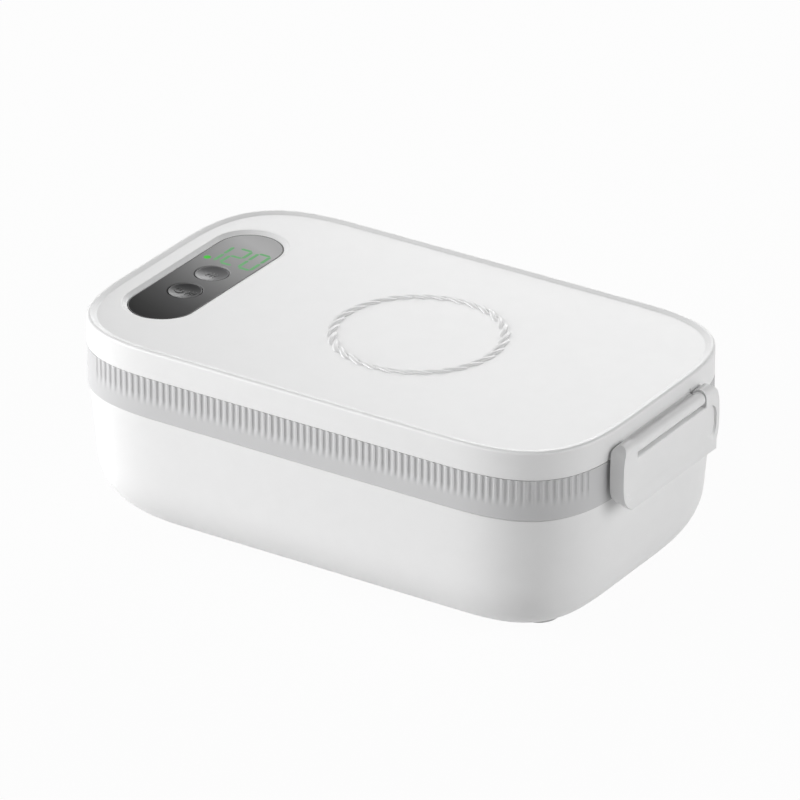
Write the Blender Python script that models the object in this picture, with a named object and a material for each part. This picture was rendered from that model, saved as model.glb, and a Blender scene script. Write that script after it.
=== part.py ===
"""Electric lunch box: a heated tub under a hinged lid, with an end latch and a panel with two keys.

The origin is under the middle of the box, on the surface it stands on.
+X points to the latch, -Y to the long side that the reader faces, +Z up. Sizes are in metres.
"""

import math

import bmesh
import bpy

MM = 0.001

# Overall form
LID_LENGTH = 240.0 * MM
LID_WIDTH = 146.0 * MM
CORNER_REACH = 58.0 * MM
CORNER_POWER = 3.2
FOOT_STAND = 2.2 * MM
CASING_HEIGHT = 57.5 * MM
BAND_HEIGHT = 17.9 * MM
LID_HEIGHT = 12.4 * MM

# Clearances
SEAT_GAP = 0.3 * MM
PIN_GAP = 0.2 * MM
SCREW_GAP = 0.3 * MM
OVERRUN = 0.6 * MM
SAME_POINT = 0.001 * MM

# Lower casing
CASING_INSET = 0.8 * MM
CASING_DRAFT = 4.3 * MM
CASING_WALL = 2.6 * MM
CASING_FLOOR = 3.0 * MM
BOTTOM_ROUND_HEIGHT = 26.0 * MM
BOTTOM_ROUND_REACH = 24.5 * MM
LIP_HEIGHT = 6.0 * MM
LIP_WALL = 1.3 * MM

# Feet
FOOT_RADIUS = 9.0 * MM
FOOT_CHAMFER = 0.9 * MM
FOOT_SUNK = 1.2 * MM
FOOT_SPREAD_X = 172.0 * MM
FOOT_SPREAD_Y = 63.4 * MM

# Base cover and its screws
COVER_LENGTH = 148.0 * MM
COVER_WIDTH = 56.0 * MM
COVER_CORNER = 12.0 * MM
COVER_THICKNESS = 1.6 * MM
COVER_LEDGE = 8.0 * MM
COVER_SCREW_INSET = 3.8 * MM
COVER_SCREW_SPREAD = 34.0 * MM
COVER_BOSS_RADIUS = 3.3 * MM
COVER_BOSS_HEIGHT = 5.5 * MM

# Screws
SCREW_RADIUS = 1.2 * MM
SCREW_HEAD_RADIUS = 2.3 * MM
SCREW_HEAD_HEIGHT = 1.2 * MM
THIN_HEAD_HEIGHT = 0.4 * MM
SCREW_BITE = 3.6 * MM
SMALL_SCREW_BITE = 2.4 * MM

# Grey band, the collar between the casing and the lid
COLLAR_WALL = 2.4 * MM
DECK_WIDTH = 9.6 * MM
HINGE_DECK_WIDTH = 27.4 * MM
DECK_THICKNESS = 4.0 * MM
FLUTE_PITCH = 3.05 * MM
FLUTE_WIDTH = 2.1 * MM
FLUTE_DEPTH = 0.75 * MM
FLUTE_HEIGHT = 12.4 * MM
SMOOTH_END_WIDTH = 90.0 * MM

# Food container and heated pan
FLANGE_WIDTH = 5.0 * MM
FLANGE_GAP = 0.4 * MM
FLANGE_SEAT_DEPTH = 1.6 * MM
CONTAINER_WALL = 0.8 * MM
CONTAINER_CORNER = 44.0 * MM
CONTAINER_DRAFT = 2.0 * MM
CONTAINER_ROUND = 14.0 * MM
PAN_AIR_GAP = 1.0 * MM
PAN_WALL = 1.2 * MM
PAN_OPENING_GAP = 1.6 * MM
PAN_FLANGE_REACH = 10.2 * MM
PAN_UNDERSIDE = 14.8 * MM
PAN_SCREW_REACH = 8.4 * MM
PAN_SCREW_SPREAD = 118.0 * MM

# Heater under the pan
HEATER_PLATE_MARGIN = 8.0 * MM
HEATER_PLATE_THICKNESS = 2.0 * MM
HEATER_TUBE_RADIUS = 3.0 * MM
HEATER_TUBE_INSET = 9.0 * MM
HEATER_TUBE_SWEEP = math.radians(330.0)
THERMOSTAT_RADIUS = 6.2 * MM
THERMOSTAT_HEIGHT = 4.6 * MM
STRAP_WIDTH = 5.0 * MM
STRAP_THICKNESS = 0.8 * MM
STRAP_FOOT = 6.0 * MM
FUSE_RADIUS = 1.8 * MM
FUSE_LENGTH = 11.0 * MM
FUSE_OFFSET = 20.0 * MM
PAD_LENGTH = 86.0 * MM
PAD_WIDTH = 36.0 * MM
PAD_CORNER = 6.0 * MM
PAD_THICKNESS = 3.2 * MM

# Power board
POWER_BOARD_X = -55.0 * MM
POWER_BOARD_LENGTH = 20.0 * MM
POWER_BOARD_WIDTH = 38.0 * MM
BOARD_THICKNESS = 1.6 * MM
BOARD_CORNER = 1.0 * MM
STANDOFF_RADIUS = 2.6 * MM
STANDOFF_HEIGHT = 3.4 * MM
STANDOFF_SPREAD = 31.0 * MM
TRANSFORMER_LENGTH = 13.0 * MM
TRANSFORMER_WIDTH = 11.0 * MM
TRANSFORMER_HEIGHT = 6.6 * MM
TRANSFORMER_OFFSET = 4.5 * MM
CAPACITOR_RADIUS = 3.1 * MM
CAPACITOR_LENGTH = 12.0 * MM
CAPACITOR_OFFSET = 6.4 * MM

# Power inlet in the hinge end
INLET_HEIGHT = 40.0 * MM
INLET_WIDTH = 27.0 * MM
INLET_TALL = 15.0 * MM
INLET_CORNER = 3.0 * MM
INLET_DEPTH = 17.5 * MM
INLET_FLANGE = 2.2 * MM
INLET_FLANGE_THICKNESS = 1.6 * MM
INLET_SUNK = 0.3 * MM
SOCKET_LOBE_RADIUS = 4.2 * MM
SOCKET_PIN_PITCH = 8.6 * MM
SOCKET_WAIST = 6.2 * MM
SOCKET_DEPTH = 12.5 * MM
SOCKET_PIN_RADIUS = 1.2 * MM
SOCKET_PIN_LENGTH = 9.5 * MM
SOCKET_TAIL_LENGTH = 4.0 * MM

# Leads
LEAD_RADIUS = 0.9 * MM
LEAD_BEND = 7.0 * MM

# Hinge opposite the latch
HINGE_BARREL_RADIUS = 3.8 * MM
HINGE_PIN_RADIUS = 1.5 * MM
HINGE_WIDTH = 68.0 * MM
HINGE_KNUCKLES = 5
HINGE_WEB_HEIGHT = 7.6 * MM

# Lid cover
LID_WALL = 2.4 * MM
LID_TOP_WALL = 2.2 * MM
LID_EDGE_ROUND = 1.25 * MM
LID_INNER_ROUND = 1.5 * MM
RIM_WIDTH = 1.75 * MM
RIM_SLOPE = 1.35 * MM
RIM_HEIGHT = 0.8 * MM

# Rope ring on the lid
ROPE_RADIUS = 34.6 * MM
ROPE_WIDTH = 4.7 * MM
ROPE_THICKNESS = 2.3 * MM
ROPE_SUNK = 0.4 * MM
ROPE_STRANDS = 3
ROPE_TURNS = 8
ROPE_GROOVE_SHARE = 0.28

# Panel in the lid
PANEL_X = -93.5 * MM
PANEL_WIDTH = 28.4 * MM
PANEL_END_MARGIN = 28.15 * MM
PANEL_SINK = 2.0 * MM
PANEL_BEVEL = 1.6 * MM
PANEL_LIP = 0.2 * MM
LENS_THICKNESS = 1.6 * MM
PANEL_LEDGE = 1.6 * MM
PANEL_LEDGE_THICKNESS = 1.1 * MM
PANEL_FRAME_WALL = 1.8 * MM

# Keys
KEY_RADIUS = 7.15 * MM
KEY_FIRST_Y = 4.1 * MM
KEY_BRIDGE = 4.9 * MM
KEY_SIDE_GAP = 0.25 * MM
KEY_SINK = 0.25 * MM
KEY_DISH = 0.9 * MM
KEY_RIM = 0.7 * MM
KEY_ROOF = 1.0 * MM
KEY_SKIRT_WALL = 0.8 * MM
KEY_FLANGE = 1.0 * MM
KEY_FLANGE_THICKNESS = 0.9 * MM
KEY_STEM_RADIUS = 1.8 * MM
KEY_TRAVEL = 0.7 * MM
KEY_STOP_GAP = 0.1 * MM

# Control board under the panel
CONTROL_BOARD_WIDTH = 30.0 * MM
CONTROL_BOARD_REACH = 9.15 * MM
CONTROL_SCREW_SPREAD_X = 17.0 * MM
CONTROL_SCREW_REACH = 5.45 * MM
BOSS_RADIUS = 2.4 * MM
DISPLAY_WIDTH = 24.4 * MM
DISPLAY_END_MARGIN = 13.05 * MM
DISPLAY_HEIGHT = 2.7 * MM
DISPLAY_GAP = 0.55 * MM
DISPLAY_CORNER = 0.8 * MM
SWITCH_SIZE = 6.0 * MM
SWITCH_HEIGHT = 1.2 * MM
SWITCH_CORNER = 0.5 * MM
SWITCH_CAP_RADIUS = 1.5 * MM
SWITCH_CAP_HEIGHT = 0.4 * MM

# Lid liner and seal
LINER_THICKNESS = 2.0 * MM
LINER_SUNK = 0.8 * MM
LINER_SCREW_SPREAD = 140.0 * MM
LINER_SCREW_INSET = 6.7 * MM
LINER_SCREW_SINK = 1.0 * MM
SEAL_REACH = 1.9 * MM
SEAL_WIDTH = 2.6 * MM
SEAL_GROOVE = 1.0 * MM
SEAL_CHAMFER = 0.6 * MM

# Latch
LATCH_WIDTH = 72.4 * MM
LATCH_AXIS_REACH = 3.8 * MM
LATCH_AXIS_DROP = 8.7 * MM
LATCH_EAR_RADIUS = 3.4 * MM
LATCH_EAR_WIDTH = 10.2 * MM
LATCH_BARREL_RADIUS = 2.35 * MM
LATCH_WEB_THICKNESS = 1.2 * MM
LATCH_RECESS_DEPTH = 1.0 * MM
LATCH_RECESS_DROP = 5.7 * MM
LATCH_PIN_RADIUS = 1.2 * MM
LATCH_PIN_INSET = 3.6 * MM
LATCH_NOTCH_DROP = 12.4 * MM
LATCH_TIP_DROP = 32.0 * MM
LATCH_TIP_REACH = 8.6 * MM
LATCH_TIP_THICKNESS = 1.2 * MM
LATCH_BACK_REACH = 0.9 * MM
LATCH_BACK_END_DROP = 27.4 * MM
LATCH_SHIN_REACH = 4.6 * MM
LATCH_SHIN_DROP = 29.6 * MM
LATCH_PLATE_THICKNESS = 2.2 * MM
LATCH_SIDE_WALL = 2.2 * MM
LATCH_BORDER = 2.2 * MM
LATCH_BORDER_DEPTH = 0.5 * MM
LATCH_BORDER_TOP = 0.7 * MM
LATCH_FLARE_DROP = 29.0 * MM
LATCH_LOWER_CORNER_WIDTH = 7.0 * MM
LATCH_LOWER_CORNER_HEIGHT = 11.8 * MM
LATCH_UPPER_CORNER_WIDTH = 5.8 * MM
LATCH_UPPER_CORNER_HEIGHT = 11.0 * MM
LATCH_HOLLOW_CORNER = 2.0 * MM
SNAP_WIDTH = 40.0 * MM
KEEPER_REACH = 1.2 * MM
KEEPER_HEIGHT = 2.2 * MM
KEEPER_DROP = 22.4 * MM

# Fineness of curves
SHELL_STEPS = 10
INNER_STEPS = 6
ROUND_STEPS = 6
TRAY_ROUND_STEPS = 4
EDGE_STEPS = 3
ARC_STEPS = 5
STADIUM_STEPS = 7
FLUTE_PATH_STEPS = 30
SMOOTH_END_STEPS = 10
DISC_SIDES = 40
FOOT_SIDES = 20
KEY_SIDES = 20
BARREL_SIDES = 14
PIN_SIDES = 8
LOBE_STEPS = 9
SCREW_SIDES = 8
ROPE_STEPS_PER_TURN = 10
ROPE_POINTS_PER_STRAND = 3
LEAD_STEPS = 4
HEATER_TUBE_STEPS = 26
LEAD_RESOLUTION = 1
HEATER_TUBE_RESOLUTION = 2
SHARP_ANGLE = math.radians(32.0)
FULL_TURN = 2 * math.pi
QUARTER_TURN = math.pi / 2
QUARTER_SIGNS = ((1, 1), (-1, 1), (-1, -1), (1, -1))
BOTH_SIDES = (-1, 1)

# Levels above the surface that the box stands on
CASING_BOTTOM = FOOT_STAND
CASING_TOP = CASING_BOTTOM + CASING_HEIGHT
BAND_TOP = CASING_TOP + BAND_HEIGHT
LID_TOP = BAND_TOP + LID_HEIGHT
FLOOR_TOP = CASING_BOTTOM + CASING_FLOOR
BAND_BOTTOM = CASING_TOP + SEAT_GAP
DECK_UNDERSIDE = BAND_TOP - DECK_THICKNESS
LID_BOTTOM = BAND_TOP + SEAT_GAP
LID_SURFACE = LID_TOP - RIM_HEIGHT
LID_UNDERSIDE = LID_SURFACE - LID_TOP_WALL
LINER_BOTTOM = LID_BOTTOM + LINER_SUNK
LINER_TOP = LINER_BOTTOM + LINER_THICKNESS

# Food container, centred on the opening that the deck leaves
FOOD_X = (HINGE_DECK_WIDTH - DECK_WIDTH) / 2
FOOD_HALF_LENGTH = (LID_LENGTH - DECK_WIDTH - HINGE_DECK_WIDTH) / 2 - FLANGE_GAP - FLANGE_WIDTH
FOOD_HALF_WIDTH = LID_WIDTH / 2 - DECK_WIDTH - FLANGE_GAP - FLANGE_WIDTH
FLANGE_BOTTOM = BAND_TOP - FLANGE_SEAT_DEPTH + SEAT_GAP
PAN_BOTTOM = CASING_BOTTOM + PAN_UNDERSIDE
PAN_FLANGE_TOP = DECK_UNDERSIDE - SEAT_GAP
CONTAINER_BOTTOM = PAN_BOTTOM + PAN_WALL + SEAT_GAP

# Heater stack below the pan
HEATER_PLATE_RADIUS = FOOD_HALF_WIDTH - HEATER_PLATE_MARGIN
HEATER_TUBE_RING = HEATER_PLATE_RADIUS - HEATER_TUBE_INSET
HEATER_PLATE_TOP = PAN_BOTTOM - SEAT_GAP
HEATER_PLATE_BOTTOM = HEATER_PLATE_TOP - HEATER_PLATE_THICKNESS
HEATER_TUBE_Z = HEATER_PLATE_BOTTOM - SEAT_GAP - HEATER_TUBE_RADIUS

# Base stack
COVER_TOP = CASING_BOTTOM + COVER_THICKNESS
COVER_SEAT = COVER_TOP + SEAT_GAP
STANDOFF_TOP = COVER_TOP + STANDOFF_HEIGHT
POWER_BOARD_BOTTOM = STANDOFF_TOP + SEAT_GAP
POWER_BOARD_TOP = POWER_BOARD_BOTTOM + BOARD_THICKNESS

# Panel, along the lid's short way
PANEL_LENGTH = LID_WIDTH - 2 * PANEL_END_MARGIN
CONTROL_BOARD_LENGTH = PANEL_LENGTH + 2 * CONTROL_BOARD_REACH
CONTROL_SCREW_SPREAD_Y = PANEL_LENGTH + 2 * CONTROL_SCREW_REACH
KEY_SECOND_Y = KEY_FIRST_Y - 2 * KEY_RADIUS - KEY_BRIDGE
DISPLAY_START_Y = KEY_FIRST_Y + KEY_RADIUS + KEY_FLANGE + DISPLAY_GAP
DISPLAY_LENGTH = PANEL_LENGTH / 2 - DISPLAY_END_MARGIN - DISPLAY_START_Y
DISPLAY_Y = DISPLAY_START_Y + DISPLAY_LENGTH / 2

# Panel stack
LENS_TOP = LID_TOP - PANEL_SINK
LENS_BOTTOM = LENS_TOP - LENS_THICKNESS
LEDGE_TOP = LENS_BOTTOM - SEAT_GAP
LEDGE_BOTTOM = LEDGE_TOP - PANEL_LEDGE_THICKNESS
DISPLAY_BOTTOM = LENS_BOTTOM - SEAT_GAP - DISPLAY_HEIGHT
CONTROL_BOARD_TOP = DISPLAY_BOTTOM - SEAT_GAP
CONTROL_BOARD_BOTTOM = CONTROL_BOARD_TOP - BOARD_THICKNESS
SWITCH_BOTTOM = CONTROL_BOARD_TOP + SEAT_GAP
SWITCH_TOP = SWITCH_BOTTOM + SWITCH_HEIGHT + SWITCH_CAP_HEIGHT
KEY_TOP = LENS_TOP - KEY_SINK

# Joint axes
LATCH_AXIS_X = LID_LENGTH / 2 + LATCH_AXIS_REACH
LATCH_AXIS_Z = LID_TOP - LATCH_AXIS_DROP
HINGE_AXIS_X = HINGE_BARREL_RADIUS - LID_LENGTH / 2 - LATCH_TIP_REACH
HINGE_AXIS_Z = BAND_TOP + SEAT_GAP / 2

KEY_PLACES = (("key_start", KEY_FIRST_Y), ("key_set", KEY_SECOND_Y))


# Outlines


def without_repeats(points):
    """The points of a closed outline, less those that lie on the one before."""
    kept = []
    for point in points:
        if not kept or math.dist(point, kept[-1]) > SAME_POINT:
            kept.append(point)
    if math.dist(kept[0], kept[-1]) < SAME_POINT:
        kept.pop()
    return kept


def rounded_box(half_length, half_width, corner, steps, centre=(0.0, 0.0), power=2.0):
    """A rectangle with four equal corners: round ones at power 2, fuller ones above it."""
    points = []
    for quarter, (side_x, side_y) in enumerate(QUARTER_SIGNS):
        for step in range(steps + 1):
            angle = (quarter + step / steps) * QUARTER_TURN
            reach_x = abs(math.cos(angle)) ** (2 / power)
            reach_y = abs(math.sin(angle)) ** (2 / power)
            x = centre[0] + side_x * (half_length - corner * (1 - reach_x))
            y = centre[1] + side_y * (half_width - corner * (1 - reach_y))
            points.append((x, y))
    return without_repeats(points)


def circle(radius, sides, centre=(0.0, 0.0)):
    points = []
    for side in range(sides):
        angle = FULL_TURN * side / sides
        points.append((centre[0] + radius * math.cos(angle), centre[1] + radius * math.sin(angle)))
    return points


def arc(centre, radius, start, end, steps):
    """Points on an arc, both ends included; the angles are in radians."""
    points = []
    for step in range(steps + 1):
        angle = start + (end - start) * step / steps
        points.append((centre[0] + radius * math.cos(angle), centre[1] + radius * math.sin(angle)))
    return points


def body_outline(inset, steps):
    """The box seen from above, moved inward from the lid's side by the inset."""
    half_length = LID_LENGTH / 2 - inset
    half_width = LID_WIDTH / 2 - inset
    return rounded_box(half_length, half_width, CORNER_REACH - inset, steps, power=CORNER_POWER)


def food_outline(growth, steps):
    """The container's wall at its top, moved outward by the growth."""
    half_length = FOOD_HALF_LENGTH + growth
    half_width = FOOD_HALF_WIDTH + growth
    corner = CONTAINER_CORNER + growth
    return rounded_box(half_length, half_width, corner, steps, (FOOD_X, 0.0), CORNER_POWER)


def panel_outline(growth):
    """The lens seen from above, moved outward by the growth."""
    half_width = PANEL_WIDTH / 2 + growth
    half_length = PANEL_LENGTH / 2 + growth
    return rounded_box(half_width, half_length, half_width, STADIUM_STEPS, (PANEL_X, 0.0))


def at_level(outline, level):
    return [(x, y, level) for x, y in outline]


# Solids


def place(axis, point, level):
    """A point of an outline that faces along the axis: X holds (y, z), Y holds (x, z), Z holds (x, y)."""
    if axis == "X":
        return (level, point[0], point[1])
    if axis == "Y":
        return (point[0], level, point[1])
    return (point[0], point[1], level)


def finish(name, maker):
    """Turns the mesh in the making into an object in the scene."""
    bmesh.ops.recalc_face_normals(maker, faces=maker.faces)
    mesh = bpy.data.meshes.new(name)
    maker.to_mesh(mesh)
    maker.free()
    solid = bpy.data.objects.new(name, mesh)
    bpy.context.scene.collection.objects.link(solid)
    return solid


def ring_edges(maker, ring):
    edges = []
    for index, corner in enumerate(ring):
        pair = (ring[index - 1], corner)
        edges.append(maker.edges.get(pair) or maker.edges.new(pair))
    return edges


def join_rings(maker, low, high):
    """Closes the strip between two rings: by quads when they match, else by a flat fill."""
    if len(low) == len(high):
        for index in range(len(low)):
            maker.faces.new((low[index - 1], low[index], high[index], high[index - 1]))
        return
    edges = ring_edges(maker, low) + ring_edges(maker, high)
    bmesh.ops.triangle_fill(maker, use_beauty=True, edges=edges)


def close_ring(maker, ring):
    bmesh.ops.triangle_fill(maker, use_beauty=True, edges=ring_edges(maker, ring))


def loft(name, rings, joined=False):
    """A solid through a row of rings: its ends are closed, or joined to each other."""
    maker = bmesh.new()
    loops = [[maker.verts.new(point) for point in ring] for ring in rings]
    for low, high in zip(loops, loops[1:]):
        join_rings(maker, low, high)
    if joined:
        join_rings(maker, loops[-1], loops[0])
    else:
        close_ring(maker, loops[0])
        close_ring(maker, loops[-1])
    return finish(name, maker)


def prism(name, axis, outline, low, high, holes=()):
    """An outline with its holes, extruded along an axis from one level to another."""
    maker = bmesh.new()
    edges = []
    for ring in (outline, *holes):
        corners = [maker.verts.new(place(axis, point, low)) for point in ring]
        edges += ring_edges(maker, corners)
    bmesh.ops.triangle_fill(maker, use_beauty=True, edges=edges)
    grown = bmesh.ops.extrude_face_region(maker, geom=list(maker.faces))
    moved = [item for item in grown["geom"] if isinstance(item, bmesh.types.BMVert)]
    bmesh.ops.translate(maker, verts=moved, vec=place(axis, (0.0, 0.0), high - low))
    return finish(name, maker)


def turned(name, profile, sides, centre, axis="Z"):
    """A closed solid turned about an axis from (radius, level) points that leave and end off it."""
    rings = []
    for radius, level in profile:
        rings.append([place(axis, point, level) for point in circle(radius, sides, centre)])
    return loft(name, rings)


def rod(name, radius, sides, centre, low, high, axis="Z"):
    return turned(name, ((radius, low), (radius, high)), sides, centre, axis)


def group(name, solids):
    """Several separate solids as one object."""
    maker = bmesh.new()
    for solid in solids:
        maker.from_mesh(solid.data)
        bpy.data.objects.remove(solid)
    return finish(name, maker)


def combine(body, tool, operation):
    """Applies a Boolean of the tool to the body and removes the tool."""
    change = body.modifiers.new(operation.lower(), "BOOLEAN")
    change.operation = operation
    change.solver = "EXACT"
    change.use_self = True
    change.object = tool
    graph = bpy.context.evaluated_depsgraph_get()
    result = bpy.data.meshes.new_from_object(body.evaluated_get(graph))
    body.modifiers.clear()
    body.data = result
    bpy.data.objects.remove(tool)
    return body


def add(body, tools):
    return combine(body, group("added", tools), "UNION")


def cut(body, tools):
    return combine(body, group("cutter", tools), "DIFFERENCE")


def curve_tube(name, route, radius, resolution):
    """Round tube along an open route, with closed ends."""
    data = bpy.data.curves.new(name, "CURVE")
    data.dimensions = "3D"
    data.bevel_depth = radius
    data.bevel_resolution = resolution
    data.use_fill_caps = True
    spline = data.splines.new("POLY")
    spline.points.add(len(route) - 1)
    for point, position in zip(spline.points, route):
        point.co = (*position, 1.0)
    tube = bpy.data.objects.new(name, data)
    bpy.context.scene.collection.objects.link(tube)
    return tube


def rounded_route(points, bend, steps):
    """A route through the points with each inner corner rounded by a smooth curve."""
    route = [points[0]]
    for before, corner, after in zip(points, points[1:], points[2:]):
        start = toward(corner, before, bend)
        end = toward(corner, after, bend)
        for step in range(steps + 1):
            share = step / steps
            route.append(curve_point(start, corner, end, share))
    route.append(points[-1])
    return route


def toward(start, end, distance):
    """The point at a distance from the start on the way to the end, or halfway if that is nearer."""
    share = min(distance / math.dist(start, end), 1 / 2)
    return tuple(a + (b - a) * share for a, b in zip(start, end))


def curve_point(start, corner, end, share):
    """A point on the quadratic curve that the corner pulls."""
    rest = 1 - share
    near, pull, far = rest * rest, 2 * rest * share, share * share
    return tuple(near * a + pull * b + far * c for a, b, c in zip(start, corner, end))


# Screws


def screws(name, places, seat, point_level, head_height=SCREW_HEAD_HEIGHT):
    """Screws driven upward: each head bears on the seat and each shank ends at the point level."""
    head_top = seat - SEAT_GAP
    profile = (
        (SCREW_HEAD_RADIUS, head_top - head_height),
        (SCREW_HEAD_RADIUS, head_top),
        (SCREW_RADIUS, head_top),
        (SCREW_RADIUS, point_level),
    )
    return [turned(numbered(name, index), profile, SCREW_SIDES, xy) for index, xy in enumerate(places)]


def numbered(name, index):
    return name + "_" + str(index + 1)


def screw_hole(place_xy, low, high):
    return rod("hole", SCREW_RADIUS + SCREW_GAP, SCREW_SIDES, place_xy, low, high)


def grid(spread_x, spread_y, centre=(0.0, 0.0)):
    """Four places round a centre."""
    places = []
    for side_x, side_y in QUARTER_SIGNS:
        places.append((centre[0] + side_x * spread_x / 2, centre[1] + side_y * spread_y / 2))
    return places


# Lower casing


def wall_inset(level):
    """How far the casing's outer wall lies inside the lid's side at a level."""
    return CASING_INSET + CASING_DRAFT * (CASING_TOP - level) / CASING_HEIGHT


def bottom_round(wall, floor):
    """Insets and levels of the casing's bottom rounding, moved inward by a wall and up by a floor."""
    start = CASING_BOTTOM + BOTTOM_ROUND_HEIGHT
    points = []
    for step in range(ROUND_STEPS + 1):
        angle = QUARTER_TURN * step / ROUND_STEPS
        outer_level = start - BOTTOM_ROUND_HEIGHT * math.sin(angle)
        pull = BOTTOM_ROUND_REACH * (1 - math.cos(angle))
        inset = wall_inset(outer_level) + pull + wall * math.cos(angle)
        points.append((inset, outer_level + floor * math.sin(angle)))
    return points


def foot_places():
    return grid(FOOT_SPREAD_X, FOOT_SPREAD_Y)


def cover_screw_places():
    return grid(COVER_LENGTH - 2 * COVER_SCREW_INSET, COVER_SCREW_SPREAD)


def inlet_outline(growth):
    half_width = INLET_WIDTH / 2 + growth
    half_tall = INLET_TALL / 2 + growth
    return rounded_box(half_width, half_tall, INLET_CORNER + growth, EDGE_STEPS, (0.0, INLET_HEIGHT))


def cover_outline(inset):
    half_length = COVER_LENGTH / 2 - inset
    half_width = COVER_WIDTH / 2 - inset
    return rounded_box(half_length, half_width, COVER_CORNER - inset, EDGE_STEPS)


def casing_cutters():
    """Opening and seat of the base cover, foot seats, screw holes and the inlet's hole."""
    below = CASING_BOTTOM - OVERRUN
    cover_levels = (
        (SEAT_GAP, below),
        (SEAT_GAP, COVER_SEAT),
        (0.0, COVER_SEAT),
    )
    seat = [at_level(cover_outline(-gap), level) for gap, level in cover_levels[:2]]
    opening = rounded_box(
        COVER_LENGTH / 2 - COVER_LEDGE, COVER_WIDTH / 2 - COVER_LEDGE, COVER_CORNER - COVER_LEDGE, EDGE_STEPS
    )
    seat.append(at_level(opening, COVER_SEAT))
    seat.append(at_level(opening, FLOOR_TOP + OVERRUN))
    tools = [loft("cover_seat", seat)]
    for place_xy in foot_places():
        pocket_top = CASING_BOTTOM + FOOT_SUNK + SEAT_GAP
        tools.append(rod("foot_seat", FOOT_RADIUS + SEAT_GAP, FOOT_SIDES, place_xy, below, pocket_top))
    for place_xy in cover_screw_places():
        top = COVER_SEAT + SCREW_BITE + SEAT_GAP
        tools.append(screw_hole(place_xy, COVER_SEAT - OVERRUN, top))
    tools.append(prism("inlet_hole", "X", inlet_outline(0.0), -LID_LENGTH / 2, inlet_flange_front()))
    return tools


def casing_shell():
    """White tub: drafted wall, rounded bottom, and a lip that enters the band."""
    lip_inset = CASING_INSET + CASING_WALL - LIP_WALL
    inner_inset = CASING_INSET + CASING_WALL
    profile = list(reversed(bottom_round(0.0, 0.0)))
    profile.append((CASING_INSET, CASING_TOP))
    profile.append((lip_inset, CASING_TOP))
    profile.append((lip_inset, CASING_TOP + LIP_HEIGHT))
    profile.append((inner_inset, CASING_TOP + LIP_HEIGHT))
    profile += bottom_round(CASING_WALL, CASING_FLOOR)
    shell = loft("casing_shell", [at_level(body_outline(inset, SHELL_STEPS), z) for inset, z in profile])
    bosses = []
    for place_xy in cover_screw_places():
        top = FLOOR_TOP + COVER_BOSS_HEIGHT
        bosses.append(rod("boss", COVER_BOSS_RADIUS, PIN_SIDES, place_xy, FLOOR_TOP - OVERRUN, top))
    add(shell, bosses)
    return cut(shell, casing_cutters())


def base_cover():
    """Plate that closes the casing from below, with standoffs for the power board."""
    holes = [circle(SCREW_RADIUS + SCREW_GAP, SCREW_SIDES, place_xy) for place_xy in cover_screw_places()]
    plate = prism("base_cover", "Z", cover_outline(0.0), CASING_BOTTOM, COVER_TOP, holes)
    posts = []
    bores = []
    for place_xy in standoff_places():
        posts.append(rod("post", STANDOFF_RADIUS, PIN_SIDES, place_xy, COVER_TOP - OVERRUN, STANDOFF_TOP))
        bores.append(screw_hole(place_xy, COVER_TOP, STANDOFF_TOP + OVERRUN))
    add(plate, posts)
    return cut(plate, bores)


def base_screws():
    return screws("base_screw", cover_screw_places(), CASING_BOTTOM, COVER_SEAT + SCREW_BITE)


def feet():
    """Four rubber pads in round seats."""
    pads = []
    names = ("foot_latch_back", "foot_hinge_back", "foot_hinge_front", "foot_latch_front")
    profile = (
        (FOOT_RADIUS - FOOT_CHAMFER, 0.0),
        (FOOT_RADIUS, FOOT_CHAMFER),
        (FOOT_RADIUS, CASING_BOTTOM + FOOT_SUNK),
    )
    for name, place_xy in zip(names, foot_places()):
        pads.append(turned(name, profile, FOOT_SIDES, place_xy))
    return pads


# Grey band


class Path:
    """The lid's outline as a path that starts at the middle of the latch end."""

    def __init__(self):
        self.points = [(LID_LENGTH / 2, 0.0)] + body_outline(0.0, FLUTE_PATH_STEPS)
        self.starts = [0.0]
        for index, point in enumerate(self.points):
            following = self.points[(index + 1) % len(self.points)]
            self.starts.append(self.starts[-1] + math.dist(point, following))
        self.length = self.starts[-1]

    def at(self, distance, inset=0.0):
        """The point at a distance along the path, moved inward by the inset."""
        distance %= self.length
        index = 0
        while self.starts[index + 1] < distance:
            index += 1
        start = self.points[index]
        end = self.points[(index + 1) % len(self.points)]
        span = self.starts[index + 1] - self.starts[index]
        share = (distance - self.starts[index]) / span
        along = ((end[0] - start[0]) / span, (end[1] - start[1]) / span)
        x = start[0] + (end[0] - start[0]) * share - along[1] * inset
        y = start[1] + (end[1] - start[1]) * share + along[0] * inset
        return (x, y)

    def distance_to_width(self, half_width):
        """How far along the latch end the path reaches a distance from the middle."""
        for index, point in enumerate(self.points):
            if point[1] >= half_width:
                return self.starts[index]
        return self.length / 4


def band_stations():
    """Stops round the band: each has its points at the top edge and its one point below the flutes."""
    path = Path()
    smooth = path.distance_to_width(SMOOTH_END_WIDTH / 2)
    fluted = path.length / 2 - 2 * smooth
    count = int(fluted / FLUTE_PITCH)
    pitch = fluted / count
    stations = []
    for half in range(2):
        start = half * path.length / 2
        for step in range(SMOOTH_END_STEPS + 1):
            point = path.at(start - smooth + 2 * smooth * step / SMOOTH_END_STEPS)
            stations.append(([point], point))
        for flute in range(count):
            middle = start + smooth + (flute + 1 / 2) * pitch
            valley = path.at(middle, FLUTE_DEPTH)
            near = path.at(middle - FLUTE_WIDTH / 2)
            far = path.at(middle + FLUTE_WIDTH / 2)
            stations.append(([near, valley, far], path.at(middle)))
    return stations


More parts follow.
